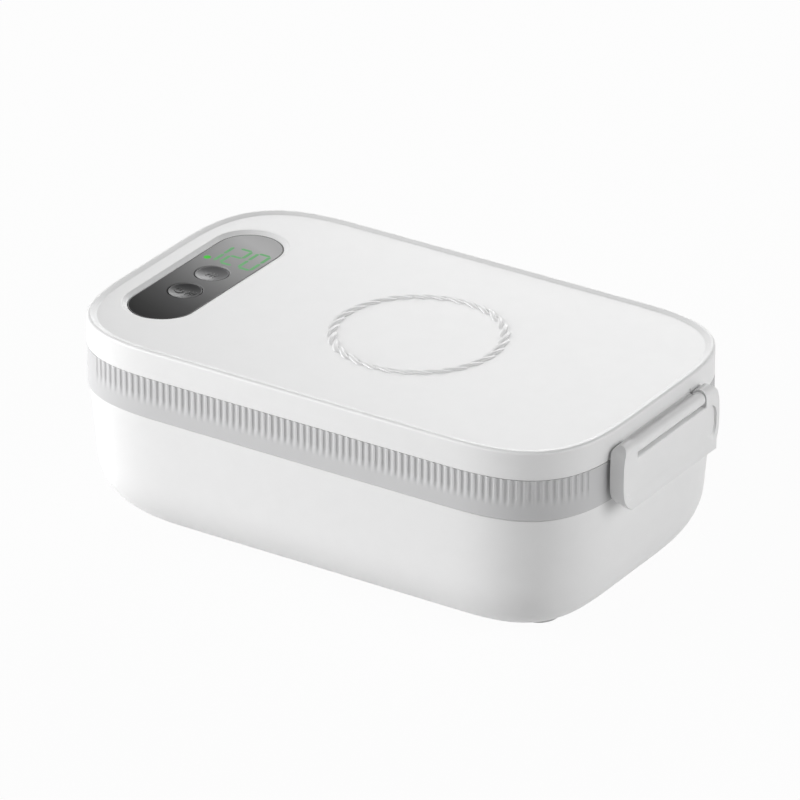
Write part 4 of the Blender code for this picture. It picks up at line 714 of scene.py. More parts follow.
WHITE = plastic("white_plastic", (0.86, 0.86, 0.86), 0.40)
WHITE_LATCH = plastic("white_latch_plastic", (0.86, 0.86, 0.86), 0.38)
BAND_GREY = plastic("band_plastic", (0.595, 0.595, 0.60), 0.46)
BLACK = plastic("black_plastic", (0.03, 0.03, 0.032), 0.45, 0.01 * MM)
# Painted reflection: both key caps are one dark plastic, painted lighter on the start key and darker on the
# set key to follow the lens's painted reflection
KEY_START_PAINTED_LIGHT_GREY = plastic("key_start_painted_light_plastic", (0.09, 0.09, 0.092), 0.32, 0.002 * MM, 0.14)
KEY_SET_PAINTED_SHADE_GREY = plastic("key_set_painted_shade_plastic", (0.020, 0.020, 0.021), 0.32, 0.002 * MM, 0.12)
RUBBER = plastic("foot_rubber", (0.60, 0.60, 0.60), 0.75, 0.02 * MM)
SILICONE = plastic("seal_silicone", (0.74, 0.75, 0.76), 0.55, 0.006 * MM)
SLEEVE = plastic("lead_sleeve", (0.45, 0.05, 0.035), 0.55, 0.01 * MM)
LENS = reflection_painted_lens("lens_painted_reflection_plastic")
STAINLESS = brushed("stainless_steel", (0.52, 0.52, 0.53), 0.38, (0.05, 1.0, 1.0))
ALUMINIUM = brushed("aluminium", (0.72, 0.73, 0.74), 0.42, (1.0, 0.06, 1.0))
PLATED = brushed("plated_steel", (0.52, 0.52, 0.53), 0.32, (1.0, 1.0, 0.1), 700.0)
BRASS = brushed("brass", (0.70, 0.50, 0.20), 0.28, (0.1, 1.0, 1.0), 700.0)
FELT = fibre("mineral_fibre", (0.74, 0.71, 0.62))
BOARD = laminate("circuit_board")
DIGIT_GREEN = lit("digit_green", (0.27, 0.61, 0.30), 0.04)
SPOT_GREEN = lit("spot_green", (0.12, 0.74, 0.10), 0.12)
ICON_DARK = plastic("icon_ink", (0.02, 0.02, 0.02), 0.5)
ICON_PALE = plastic("icon_pale_ink", (0.11, 0.11, 0.11), 0.5)


# Lower casing


def wall_inset(level):
    height = CASING_TOP - CASING_BOTTOM
    return CASING_INSET + CASING_DRAFT * (CASING_TOP - level) / height


def bottom_round(wall, floor):
    start = CASING_BOTTOM + BOTTOM_ROUND_HEIGHT
    points = []
    for step in range(ROUND_STEPS + 1):
        angle = QUARTER_TURN * step / ROUND_STEPS
        outer_level = start - BOTTOM_ROUND_HEIGHT * sin(angle)
        pull = BOTTOM_ROUND_REACH * (1 - cos(angle))
        inset = wall_inset(outer_level) + pull + wall * cos(angle)
        points.append((inset, outer_level + floor * sin(angle)))
    return points


def inlet_face():
    return wall_inset(INLET_Z + INLET_TALL / 2) - LID_END + INLET_SUNK


def inlet_flange_front():
    return wall_inset(INLET_Z - INLET_TALL) + CASING_WALL + SEAT_GAP - LID_END


def casing():
    lip_inset = CASING_INSET + CASING_WALL - LIP_WALL
    inner_inset = CASING_INSET + CASING_WALL
    profile = list(reversed(bottom_round(0.0, 0.0)))
    edge = CASING_TOP - CASING_EDGE
    start = (wall_inset(edge), edge)
    profile += bend(start, (CASING_INSET, CASING_TOP), (CASING_INSET + CASING_EDGE, CASING_TOP))
    profile.append((lip_inset, CASING_TOP))
    profile.append((lip_inset, CASING_TOP + LIP_HEIGHT))
    profile.append((inner_inset, CASING_TOP + LIP_HEIGHT))
    profile += bottom_round(CASING_WALL, CASING_FLOOR)
    shell = loft("casing", rings_of(body_outline, profile))
    below = CASING_BOTTOM - OVERRUN
    seat = (
        (-SEAT_GAP, below),
        (-SEAT_GAP, COVER_SEAT),
        (COVER_LEDGE, COVER_SEAT),
        (COVER_LEDGE, CASING_BOTTOM + CASING_FLOOR + OVERRUN),
    )
    tools = [loft("seat", rings_of(cover_outline, seat))]
    for place_xy in grid(*FEET):
        tools.append(rod("pocket", FOOT_RADIUS + SEAT_GAP, place_xy, below, FOOT_TOP + SEAT_GAP))
    tools.append(prism("hole", "X", inlet_outline(0.0), -LID_END, inlet_flange_front()))
    cut(shell, tools)
    mount(shell, "base", WHITE, ["casing_shell"])


def cover_plate():
    """Base cover with a softened edge and a shallow sunk field between its screws."""
    field = COVER_PANEL_INSET
    levels = (
        (field + COVER_EDGE, CASING_BOTTOM + COVER_PANEL_DEPTH),
        (field, CASING_BOTTOM),
        (COVER_EDGE, CASING_BOTTOM),
        (0.0, CASING_BOTTOM + COVER_EDGE),
        (0.0, COVER_TOP),
    )
    mount(loft("cover_plate", rings_of(cover_outline, levels)), "base", WHITE, ["base_cover"])


def feet():
    names = ("foot_latch_back", "foot_hinge_back", "foot_hinge_front", "foot_latch_front")
    outer = bend((FOOT_RADIUS - FOOT_ROUND, 0.0), (FOOT_RADIUS, 0.0), (FOOT_RADIUS, FOOT_ROUND))
    ring = FOOT_RADIUS * FOOT_RING_SHARE
    profile = [
        (ring - 2 * FOOT_GROOVE, 0.0),
        (ring - FOOT_GROOVE, FOOT_GROOVE),
        (ring, FOOT_GROOVE),
        (ring + FOOT_GROOVE, 0.0),
        *outer,
        (FOOT_RADIUS, FOOT_TOP),
    ]
    for name, place_xy in zip(names, grid(*FEET)):
        mount(turned(name + "_pad", profile, SIDES, place_xy), "base", RUBBER, [name])


def screws(name, body, places, seat, tip):
    """Cross-head screws whose domed heads face down."""
    width, length, depth = SCREW_RECESS
    top = seat - SEAT_GAP
    low = top - SCREW_HEAD_HEIGHT
    crown = SCREW_HEAD_RADIUS * SCREW_DOME_SHARE
    dome = bend((crown, low), (SCREW_HEAD_RADIUS, low), (SCREW_HEAD_RADIUS, top))
    profile = dome + [(SCREW_RADIUS, top), (SCREW_RADIUS, tip)]
    for index, (x, y) in enumerate(places):
        node = name + "_" + str(index + 1)
        screw = turned(node + "_cross", profile, SIDES, (x, y))
        tools = []
        for size_x, size_y in ((length, width), (width, length)):
            outline = rounded_box(size_x, size_y, width / 4, 0.0, 1, (x, y))
            tools.append(prism("recess", "Z", outline, low - OVERRUN, low + depth))
        mount(cut(screw, tools), body, PLATED, [node])


# Band


class Path:
    """The lid's outline as a path that starts at the middle of the latch end."""

    def __init__(self):
        self.points = [(LID_END, 0.0)] + body_outline(0.0, PATH_STEPS)
        self.starts = [0.0]
        for point, following in zip(self.points, self.points[1:] + self.points[:1]):
            self.starts.append(self.starts[-1] + dist(point, following))
        self.length = self.starts[-1]

    def stop(self, distance):
        """The point at a distance along the path and the direction inward from it."""
        distance %= self.length
        index = 0
        while self.starts[index + 1] < distance:
            index += 1
        start = self.points[index]
        end = self.points[(index + 1) % len(self.points)]
        span = self.starts[index + 1] - self.starts[index]
        share = (distance - self.starts[index]) / span
        point = tuple(a + (b - a) * share for a, b in zip(start, end))
        return point, ((start[1] - end[1]) / span, (end[0] - start[0]) / span)

    def distance_to_width(self, half_width):
        """How far along the path the outline first is that wide."""
        return next(start for start, point in zip(self.starts, self.points) if point[1] >= half_width)


def band_columns():
    """Stops round the band, each with its share of the flutes' depth."""
    path = Path()
    latch_end = path.distance_to_width(SMOOTH_LATCH_WIDTH / 2)
    hinge_end = path.distance_to_width(SMOOTH_HINGE_WIDTH / 2)
    fluted = path.length / 2 - latch_end - hinge_end
    count = int(fluted / FLUTE_PITCH)
    pitch = fluted / count
    columns = []
    for half, smooth in enumerate((latch_end, hinge_end)):
        start = half * path.length / 2
        for step in range(SMOOTH_END_STEPS + 1):
            columns.append((path.stop(start - smooth + 2 * smooth * step / SMOOTH_END_STEPS), 0.0))
        for flute in range(count):
            middle = start + smooth + (flute + 1 / 2) * pitch
            for column in range(FLUTE_COLUMNS):
                across = 2 * column / (FLUTE_COLUMNS - 1) - 1
                depth = (1 - across * across) ** FLUTE_FULLNESS
                columns.append((path.stop(middle + across * FLUTE_WIDTH / 2), depth))
    return columns


def band_ring(columns, inset, level):
    """The band's outer wall at a level, with the flutes fading out toward their lower ends."""
    drop = BAND_TOP - level
    share = min(max((FLUTE_HEIGHT - drop) / FLUTE_FADE, 0.0), 1.0)
    fade = share * share * (3 - 2 * share)
    ring = []
    for (point, inward), depth in columns:
        reach = inset + depth * fade * FLUTE_DEPTH
        ring.append((point[0] + inward[0] * reach, point[1] + inward[1] * reach, level))
    return ring


def band():
    columns = band_columns()
    lower = BAND_LOWER_EDGE
    bottom_edge = bend((lower, BAND_BOTTOM), (0.0, BAND_BOTTOM), (0.0, BAND_BOTTOM + lower))
    top_edge = bend((0.0, BAND_TOP - BAND_EDGE), (0.0, BAND_TOP), (BAND_EDGE, BAND_TOP), 3)
    fade_start = BAND_TOP - FLUTE_HEIGHT + FLUTE_FADE
    steps = range(FLUTE_FADE_STEPS, -1, -1)
    wall = [(0.0, fade_start - FLUTE_FADE * step / FLUTE_FADE_STEPS) for step in steps]
    outer = [band_ring(columns, inset, z) for inset, z in bottom_edge + wall + top_edge]
    seat_level = BAND_TOP - FLANGE_SEAT_DEPTH
    step_level = CASING_TOP + LIP_HEIGHT + SEAT_GAP
    skirt_wall = CASING_INSET + CASING_WALL - LIP_WALL - SEAT_GAP
    seat_growth = FLANGE_WIDTH + FLANGE_GAP
    seat = (
        (seat_growth + BAND_EDGE, BAND_TOP),
        (seat_growth, BAND_TOP - BAND_EDGE),
        (seat_growth, seat_level),
        (PAN_OPENING_GAP, seat_level),
        (PAN_OPENING_GAP, DECK_UNDERSIDE),
    )
    skirt = (
        (COLLAR_WALL, DECK_UNDERSIDE),
        (COLLAR_WALL, step_level),
        (skirt_wall, step_level),
        (skirt_wall, BAND_BOTTOM),
    )
    rings = outer + rings_of(food_outline, seat) + rings_of(body_outline, skirt)
    ring = loft("band", rings, joined=True)
    mount(ring, "base", BAND_GREY, ["casing_collar"])
    profile = (
        (LID_END - OVERRUN, KEEPER_BOTTOM),
        (LID_END + KEEPER_REACH, KEEPER_BOTTOM),
        (LID_END + KEEPER_REACH, KEEPER_TOP - KEEPER_HEIGHT / 2),
        (LID_END, KEEPER_TOP),
        (LID_END - OVERRUN, KEEPER_TOP),
    )
    ridge = prism("keeper_ridge", "Y", profile, -SNAP_WIDTH / 2, SNAP_WIDTH / 2)
    mount(round_edges(ridge, CASING_EDGE), "base", BAND_GREY)


# Hinge


def knuckles(name, body, surface, first, side):
    """Every second knuckle with its web, from the first one given."""
    wall = -LID_END + LID_WALL / 2
    near = HINGE_Z + side * SEAT_GAP / 2
    far = near + side * HINGE_WEB_HEIGHT
    round_part = arc(HINGE_AXIS, HINGE_BARREL_RADIUS, pi / 3, FULL_TURN, BARREL_SIDES)
    outline = [(x, HINGE_Z + side * (z - HINGE_Z)) for x, z in round_part]
    outline[-1] = (outline[-1][0], near)
    outline += [(wall, near), (wall, far)]
    pitch = HINGE_WIDTH / HINGE_KNUCKLES
    bore = circle(HINGE_BORE, SIDES // 2, HINGE_AXIS)
    for index in range(first, HINGE_KNUCKLES, 2):
        low = index * pitch - HINGE_WIDTH / 2 + SEAT_GAP / 2
        knuckle = prism(name + "_" + str(index + 1), "Y", outline, low, low + pitch - SEAT_GAP, [bore])
        mount(round_edges(knuckle, HINGE_EDGE), body, surface)


def pins():
    for name, body, radius, centre, half in (
        ("hinge_pin", "base", HINGE_PIN, HINGE_AXIS, HINGE_WIDTH / 2),
        ("latch_pin", "latch", LATCH_PIN, LATCH_AXIS, LATCH_WIDTH / 2 - LATCH_PIN_INSET - SEAT_GAP),
    ):
        chamfer = radius / 4
        profile = (
            (radius - chamfer, -half),
            (radius, -half + chamfer),
            (radius, half - chamfer),
            (radius - chamfer, half),
        )
        mount(turned(name + "_rod", profile, BARREL_SIDES, centre, "Y"), body, PLATED, [name])


# Food tray, lid liner and seal


def tray_wall(growth, bottom):
    radius = CONTAINER_ROUND + growth
    points = []
    for step in range(ROUND_STEPS + 1):
        angle = QUARTER_TURN * step / ROUND_STEPS
        inward = CONTAINER_DRAFT + radius * (1 - cos(angle))
        points.append((growth - inward, bottom + radius * (1 - sin(angle))))
    return points


def food_tray():
    """Pressed steel tray whose wall rolls over into its flange."""
    top = FLANGE_BOTTOM + CONTAINER_WALL
    roll = 3 * CONTAINER_WALL
    edge = CONTAINER_WALL / 3
    outside = list(reversed(tray_wall(0.0, CONTAINER_BOTTOM)))
    outside += bend((0.0, FLANGE_BOTTOM - edge), (0.0, FLANGE_BOTTOM), (edge, FLANGE_BOTTOM), 2)
    rim = [
        (FLANGE_WIDTH - edge, FLANGE_BOTTOM),
        (FLANGE_WIDTH, FLANGE_BOTTOM + edge),
        (FLANGE_WIDTH, top - edge),
        (FLANGE_WIDTH - edge, top),
    ]
    inside = bend((roll - CONTAINER_WALL, top), (-CONTAINER_WALL, top), (-CONTAINER_WALL, top - roll))
    inside += tray_wall(-CONTAINER_WALL, CONTAINER_BOTTOM + CONTAINER_WALL)
    rings = rings_of(food_outline, outside + rim + inside)
    mount(loft("food_tray", rings), "base", STAINLESS, ["food_container"])


def liner():
    """Plate under the lid, with a groove for the seal and a shallow field inside it."""
    edge = LID_WALL + SEAT_GAP
    groove_top = LINER_BOTTOM + LINER_GROOVE
    inner = SEAL_REACH - SEAT_GAP
    outer = SEAL_REACH + SEAL_WIDTH + SEAT_GAP
    soft = SEAT_GAP
    field = [(-inset, LINER_BOTTOM + rise * soft) for inset, rise in zip(LINER_FIELD, (2, 1, 0))]
    field += [
        (inner - soft, LINER_BOTTOM),
        (inner, LINER_BOTTOM + soft),
        (inner, groove_top),
        (outer, groove_top),
        (outer, LINER_BOTTOM + soft),
        (outer + soft, LINER_BOTTOM),
    ]
    side = ((edge + soft, LINER_BOTTOM), (edge, LINER_BOTTOM + soft), (edge, LINER_TOP))
    rings = rings_of(food_outline, field)
    rings += rings_of(lambda inset: body_outline(inset, SHELL_STEPS + 1), side)
    plate = loft("liner_plate", rings)
    tools = []
    places = grid(*LINER_SCREWS, (FOOD_X, 0.0))
    seat = LINER_BOTTOM + LINER_SCREW_SINK
    for place_xy in places:
        low = LINER_BOTTOM - OVERRUN
        tools.append(rod("sink", SCREW_HEAD_RADIUS + SEAT_GAP, place_xy, low, seat))
        tools.append(rod("hole", SCREW_RADIUS + SEAT_GAP, place_xy, low, LINER_TOP + OVERRUN))
    mount(cut(plate, tools), "lid", WHITE, ["lid_liner"])
    screws("liner_screw", "lid", places, seat, LINER_TOP + SEAT_GAP + SCREW_BITE)


def seal():
    """Silicone ring with a rounded pressing lip."""
    inner = SEAL_REACH
    outer = SEAL_REACH + SEAL_WIDTH
    middle = (inner + outer) / 2
    radius = SEAL_WIDTH / 2
    section = [(inner, SEAL_TOP), (outer, SEAL_TOP)]
    section += arc((middle, SEAL_BOTTOM + radius * SEAL_LIP_SHARE), radius, 0.0, -pi, 2 * EDGE_STEPS)
    section = [(growth, max(z, SEAL_BOTTOM)) for growth, z in section]
    mount(loft("seal_ring", rings_of(food_outline, section), joined=True), "lid", SILICONE, ["lid_seal"])


# Lid


def lid_shell():
    """Lid with a raised rounded rim and the softened opening of its panel, down to the lens's ledge."""
    profile = [(LID_WALL + LID_INNER_ROUND, LID_UNDERSIDE)]
    corner = (LID_WALL, LID_UNDERSIDE)
    profile += bend(profile[0], corner, (LID_WALL, LID_UNDERSIDE - LID_INNER_ROUND))[1:]
    profile.append((LID_WALL, LID_BOTTOM))
    skirt = LID_SKIRT_ROUND
    profile += bend((skirt, LID_BOTTOM), (0.0, LID_BOTTOM), (0.0, LID_BOTTOM + skirt), 3)
    for step in range(2 * EDGE_STEPS + 1):
        angle = QUARTER_TURN * step / (2 * EDGE_STEPS)
        inset = LID_EDGE_ROUND * (1 - cos(angle))
        profile.append((inset, LID_TOP - LID_EDGE_ROUND * (1 - sin(angle))))
    slope_end = (RIM_WIDTH - RIM_STEP[0], LID_SURFACE + RIM_STEP[1])
    profile += bend((LID_EDGE_ROUND + SEAT_GAP / 3, LID_TOP), (RIM_FLAT, LID_TOP), slope_end)
    profile += bend(slope_end, (RIM_WIDTH - RIM_STEP[0] / 2, LID_SURFACE), (RIM_WIDTH, LID_SURFACE))[1:]
    profile.append((RIM_WIDTH + SEAT_GAP, LID_SURFACE))
    wide = SEAT_GAP + PANEL_BEVEL
    slope_top = (wide, LID_SURFACE - PANEL_LIP / 2)
    opening = [(wide + 2 * PANEL_LIP, LID_SURFACE)]
    opening += bend((wide + PANEL_LIP, LID_SURFACE), (wide + PANEL_LIP / 3, LID_SURFACE), slope_top, 4)
    opening += [
        (SEAT_GAP, LENS_TOP),
        (SEAT_GAP, LEDGE_TOP),
        (-PANEL_LEDGE, LEDGE_TOP),
        (-PANEL_LEDGE, LEDGE_BOTTOM),
        (PANEL_FRAME, LEDGE_BOTTOM),
        (PANEL_FRAME, LID_UNDERSIDE),
    ]
    rings = rings_of(body_outline, profile) + rings_of(panel_outline, opening)
    cover = cut(loft("lid_top", rings, joined=True), [latch_recess()])
    mount(cover, "lid", WHITE, ["lid_cover"])


def latch_recess():
    """Cutter for the shallow field behind the latch's bar, with a rolled upper edge."""
    depth = LID_END - LATCH_RECESS_DEPTH
    turn = LATCH_RECESS_TOP - LATCH_RECESS_ROUND
    beyond = LID_END + OVERRUN
    profile = [(depth, LATCH_BAR_Z), (beyond, LATCH_BAR_Z), (beyond, LATCH_RECESS_TOP)]
    profile += bend((LID_END, LATCH_RECESS_TOP), (depth, LATCH_RECESS_TOP), (depth, turn))
    half = LATCH_WIDTH / 2 - LATCH_EAR_WIDTH
    return prism("recess", "Y", profile, -half, half)


def rope_ring():
    """Ring of twisted strands, half sunk in the lid's top."""
    rings = []
    for section in range(ROPE_SECTIONS):
        along = FULL_TURN * section / ROPE_SECTIONS
        twist = -ROPE_TURNS * along
        ring = []
        for point in range(ROPE_POINTS):
            turn = FULL_TURN * point / ROPE_POINTS
            groove = ROPE_GROOVE_SHARE * (1 - abs(cos(ROPE_STRANDS * turn / 2)))
            across = (1 - groove) * cos(turn + twist)
            rise = (1 - groove) * sin(turn + twist)
            radius = ROPE_RADIUS + across * ROPE_WIDTH / 2
            level = LID_SURFACE - ROPE_SUNK + rise * ROPE_THICKNESS / 2
            ring.append((FOOD_X + radius * cos(along), radius * sin(along), level))
        rings.append(ring)
    mount(loft("rope_ring", rings, joined=True), "lid", WHITE)


def latch_barrel():
    """Round bar between the latch's ears, joined to the lid's wall by a web."""
    half = LATCH_WIDTH / 2 - LATCH_EAR_WIDTH - SEAT_GAP
    wall = (LID_LENGTH - LID_WALL) / 2 - LATCH_RECESS_DEPTH
    start = pi - asin((LATCH_WEB_TOP - LATCH_BAR_Z) / LATCH_BAR_RADIUS)
    profile = arc((LATCH_BAR_X, LATCH_BAR_Z), LATCH_BAR_RADIUS, start, -QUARTER_TURN, BARREL_SIDES)
    profile.append((wall, LATCH_BAR_Z - LATCH_BAR_RADIUS))
    profile.append((wall, LATCH_WEB_TOP))
    bore = circle(LATCH_BORE, SIDES // 2, LATCH_AXIS)
    barrel = prism("latch_barrel", "Y", profile, -half, half, [bore])
    mount(round_edges(barrel, CASING_EDGE), "lid", WHITE)


# Panel


def inlay(name, outline, holes=()):
    return prism(name, "Z", outline, LENS_TOP - INLAY_SUNK, LENS_TOP + INLAY_PROUD, holes)


def lens():
    profile = (
        (0.0, LENS_BOTTOM),
        (0.0, LENS_TOP - LENS_EDGE),
        (-LENS_EDGE / 3, LENS_TOP - LENS_EDGE / 3),
        (-LENS_EDGE, LENS_TOP),
    )
    window = loft("lens", rings_of(panel_outline, profile))
    tools = []
    for y in KEY_PLACES.values():
        hole = KEY_RADIUS + KEY_SIDE_GAP
        profile = (
            (hole, LENS_BOTTOM - OVERRUN),
            (hole, LENS_TOP - LENS_EDGE),
            (hole + LENS_EDGE, LENS_TOP),
            (hole + LENS_EDGE, LENS_TOP + OVERRUN),
        )
        tools.append(turned("hole", profile, 2 * SIDES, (PANEL_X, y)))
    mount(cut(window, tools), "lid", LENS, ["panel_lens"])
    # Painted shade: a thin black ring along the lens's edge stands in for the shadow in the gap round the
    # lens
    gap_shade = inlay("lens_gap_shade_ring", panel_outline(-LENS_EDGE / 3), [panel_outline(-LENS_GAP_SHADE_WIDTH)])
    mount(gap_shade, "lid", BLACK)


def segment(x, y, length, upright):
    """One bar of a digit, pointed at both ends."""
    half = length / 2 - SEGMENT_GAP
    wide = SEGMENT_WIDTH / 2
    blunt = half - wide
    outline = [(-half, 0.0), (-blunt, -wide), (blunt, -wide), (half, 0.0), (blunt, wide), (-blunt, wide)]
    if upright:
        outline = [(-b, a) for a, b in outline]
    return inlay("segment", [(x + a, y + b) for a, b in outline])


def display():
    """Three seven-bar digits and a round lamp, inlaid in the lens."""
    half = DIGIT_WIDTH / 2
    tall = DIGIT_HEIGHT / 2
    bars = {
        "a": (0.0, tall, DIGIT_WIDTH, False),
        "b": (half, tall / 2, tall, True),
        "c": (half, -tall / 2, tall, True),
        "d": (0.0, -tall, DIGIT_WIDTH, False),
        "e": (-half, -tall / 2, tall, True),
        "f": (-half, tall / 2, tall, True),
        "g": (0.0, 0.0, DIGIT_WIDTH, False),
    }
    solids = []
    for x, names in zip(DIGIT_PLACES, DIGITS):
        for name in names:
            along, across, length, upright = bars[name]
            solids.append(segment(x + along, DIGIT_Y + across, length, upright))
    mount(group("display_digits", solids), "lid", DIGIT_GREEN)
    spot = rod("display_spot", SPOT_RADIUS, SPOT, LENS_TOP - INLAY_SUNK, LENS_TOP + 2 * INLAY_PROUD)
    mount(spot, "lid", SPOT_GREEN)


def dish_level(distance):
    share = distance / (KEY_RADIUS - KEY_RIM)
    return KEY_TOP - KEY_DISH * (1 - share * share)


def key(node, y, surface):
    """Dished cap with a soft rim and a flange under the lens."""
    dish = KEY_RADIUS - KEY_RIM
    distances = [dish * step / (KEY_DISH_STEPS - 1) for step in range(1, KEY_DISH_STEPS)]
    profile = [(distance, dish_level(distance)) for distance in distances]
    profile += bend(profile[-1], (KEY_RADIUS, KEY_TOP + KEY_RIM / 6), (KEY_RADIUS, KEY_TOP - KEY_RIM), 6)[1:]
    profile = [(radius, min(z, KEY_TOP)) for radius, z in profile]
    roof = KEY_TOP - KEY_DISH - KEY_ROOF
    profile += [
        (KEY_RADIUS, KEY_FLANGE_TOP),
        (KEY_RADIUS + KEY_FLANGE, KEY_FLANGE_TOP),
        (KEY_RADIUS + KEY_FLANGE, KEY_FLANGE_BOTTOM),
        (KEY_RADIUS - KEY_SKIRT_WALL, KEY_FLANGE_BOTTOM),
        (KEY_RADIUS - KEY_SKIRT_WALL, roof),
    ]
    mount(turned(node + "_cap", profile, 2 * SIDES, (PANEL_X, y)), node, surface, [node])


def waves(x):
    """Three short upright waves side by side about a place on a key."""
    shares = [step / ARC_STEPS - 1 / 2 for step in range(ARC_STEPS + 1)]
    wave = [(sin(FULL_TURN * share) * ICON_LINE, share * ICON_LENGTH) for share in shares]
    return [[(x + (column * ICON_LENGTH / 2 + a), b) for a, b in wave] for column in (-1, 0, 1)]


def icon(node, routes, ink):
    """Lines laid on the dish of a key."""
    marks = []
    for route in routes:
        line = [(PANEL_X + a, KEY_PLACES[node] + b, dish_level(hypot(a, b))) for a, b in route]
        marks.append(tube("mark", line, ICON_LINE / 2))
    mount(group(node + "_icon", marks), node, ink)


def icons():
    """A ring with a bar beside waves on one key, and waves alone on the other."""
    start = radians(ICON_RING_START)
    end = start + radians(ICON_RING_SWEEP)
    ring = arc((-ICON_REACH, 0.0), ICON_RADIUS, start, end, 4 * ARC_STEPS)
    bar = [(-ICON_REACH, ICON_RADIUS * share) for share in ICON_BAR]
    icon("key_set", [ring, bar, *waves(ICON_REACH)], ICON_DARK)
    icon("key_start", waves(0.0), ICON_PALE)


# Latch


def latch_side_profile():
    tip = (LID_END + LATCH_TIP_REACH, LATCH_TIP_Z)
    flare = (LATCH_FRONT + LATCH_FLARE_BEND[0], LATCH_FLARE_BEND[1])
    points = arc(LATCH_AXIS, LATCH_EAR_RADIUS, pi, 0.0, BARREL_SIDES // 2)
    points += bend((LATCH_FRONT, LATCH_FLARE_Z), flare, tip, ARC_STEPS)
    points += [
        (tip[0] - LATCH_TIP_THICKNESS / 2, LATCH_BOTTOM_Z),
        (LATCH_FRONT - LATCH_TIP_THICKNESS, LATCH_BOTTOM_Z),
        (LID_END + LATCH_SHIN_REACH, LATCH_SHIN_Z),
        (LID_END + (LATCH_BACK_REACH + LATCH_SHIN_REACH) / 2, LATCH_SHIN_Z),
        (LID_END + LATCH_BACK_REACH, LATCH_BACK_END_Z),
        (LID_END + LATCH_BACK_REACH, LATCH_AXIS_Z - LATCH_EAR_RADIUS),
    ]
    return points


def corner_arc(corner, size, side_z):
    """Rounds an outer corner: size is its (width, height), side_z says which way its centre lies."""
    centre = (corner[0] - size[0], corner[1] + side_z * size[1])
    quarter = arc((0.0, 0.0), 1.0, 0.0, QUARTER_TURN, ARC_STEPS)
    return [(centre[0] + size[0] * a, centre[1] - side_z * size[1] * b) for a, b in quarter]


def cornered_side(half, bottom, top, lower, upper):
    """The +Y side of a field seen from the front, from its bottom to its top, as (y, z)."""
    return corner_arc((half, bottom), lower, 1)[::-1] + corner_arc((half, top), upper, -1)


def mirrored(side):
    return side + [(-y, z) for y, z in reversed(side)]


def latch_front_outline():
    half = LATCH_WIDTH / 2
    top = LATCH_AXIS_Z + LATCH_EAR_RADIUS + OVERRUN
    bottom = LATCH_BOTTOM_Z - OVERRUN
    side = cornered_side(half, bottom, top, LATCH_LOWER_CORNER, LATCH_UPPER_CORNER)
    side += [(half - LATCH_EAR_WIDTH, top), (half - LATCH_EAR_WIDTH, LATCH_NOTCH)]
    return mirrored(side)


def latch_cutters():
    """Cutters for the hollow back, the sunk face, the notch's rolled edge and the pin's bore."""
    back = LATCH_FRONT - LATCH_BORDER_DEPTH - LATCH_PLATE_THICKNESS
    below = LATCH_BOTTOM_Z - OVERRUN
    upper = (LATCH_HOLLOW_CORNER, LATCH_HOLLOW_CORNER)
    hollow = cornered_side(LATCH_WIDTH / 2 - LATCH_SIDE_WALL, below, LATCH_NOTCH, LATCH_LOWER_CORNER, upper)
    width = LATCH_LOWER_CORNER[0] - LATCH_BORDER
    top = LATCH_NOTCH - LATCH_BORDER_TOP
    sunk = []
    for x, bottom in (
        (LATCH_FRONT - LATCH_SUNK_DEPTH, LATCH_FLARE_Z + LATCH_SUNK_FADE),
        (LATCH_FRONT, LATCH_FLARE_Z),
        (LID_END + LATCH_TIP_REACH, LATCH_FLARE_Z),
    ):
        height = LATCH_LOWER_CORNER[1] - (bottom - below)
        side = cornered_side(LATCH_WIDTH / 2 - LATCH_BORDER, bottom, top, (width, height), (width, width))
        sunk.append(at_level(mirrored(side), x, "X"))
    edge = LATCH_NOTCH - LATCH_NOTCH_ROUND
    inward = LATCH_FRONT - LATCH_NOTCH_ROUND
    outward = LATCH_FRONT + OVERRUN
    roll = [(outward, edge)]
    roll += bend((LATCH_FRONT, edge), (LATCH_FRONT, LATCH_NOTCH), (inward, LATCH_NOTCH))
    roll += [(inward, LATCH_NOTCH + OVERRUN), (outward, LATCH_NOTCH + OVERRUN)]
    notch_half = LATCH_WIDTH / 2 - LATCH_EAR_WIDTH
    bore_half = LATCH_WIDTH / 2 - LATCH_PIN_INSET
    return [
        prism("hollow", "X", mirrored(hollow), LID_END, back),
        loft("sunk_face", sunk),
        prism("notch_roll", "Y", roll, -notch_half, notch_half),
        rod("bore", LATCH_BORE, LATCH_AXIS, -bore_half, bore_half, "Y"),
    ]


def latch():
    half = LATCH_WIDTH / 2
    plate = prism("latch_plate", "Y", latch_side_profile(), -half, half)
    front = prism("front", "X", latch_front_outline(), LID_END, LID_END + LATCH_TIP_REACH + OVERRUN)
    combine(plate, front, "INTERSECT")
    cut(plate, latch_cutters())
    mount(round_edges(plate, LATCH_EDGE), "latch", WHITE_LATCH, ["latch"])
    plate_back = LATCH_FRONT - LATCH_BORDER_DEPTH - LATCH_PLATE_THICKNESS
    top = KEEPER_BOTTOM - SEAT_GAP
    tip = LID_END + KEEPER_REACH + SEAT_GAP
    profile = (
        (plate_back + OVERRUN, top - KEEPER_HEIGHT),
        (plate_back + OVERRUN, top),
        (tip, top),
        (tip, top - KEEPER_HEIGHT / 2),
        (plate_back, top - KEEPER_HEIGHT),
    )
    bead = prism("snap_bead", "Y", profile, -SNAP_WIDTH / 2, SNAP_WIDTH / 2)
    mount(round_edges(bead, CASING_EDGE), "latch", WHITE_LATCH)


# Power inlet


def socket_outline(growth=0.0):
    half_pitch = SOCKET_PIN_PITCH / 2
    radius = SOCKET_LOBE_RADIUS + growth
    turn = pi - asin((SOCKET_WAIST / 2 + growth) / radius)
    right = arc((half_pitch, INLET_Z), radius, -turn, turn, 2 * ARC_STEPS)
    left = [(-y, 2 * INLET_Z - z) for y, z in right]
    return right + left


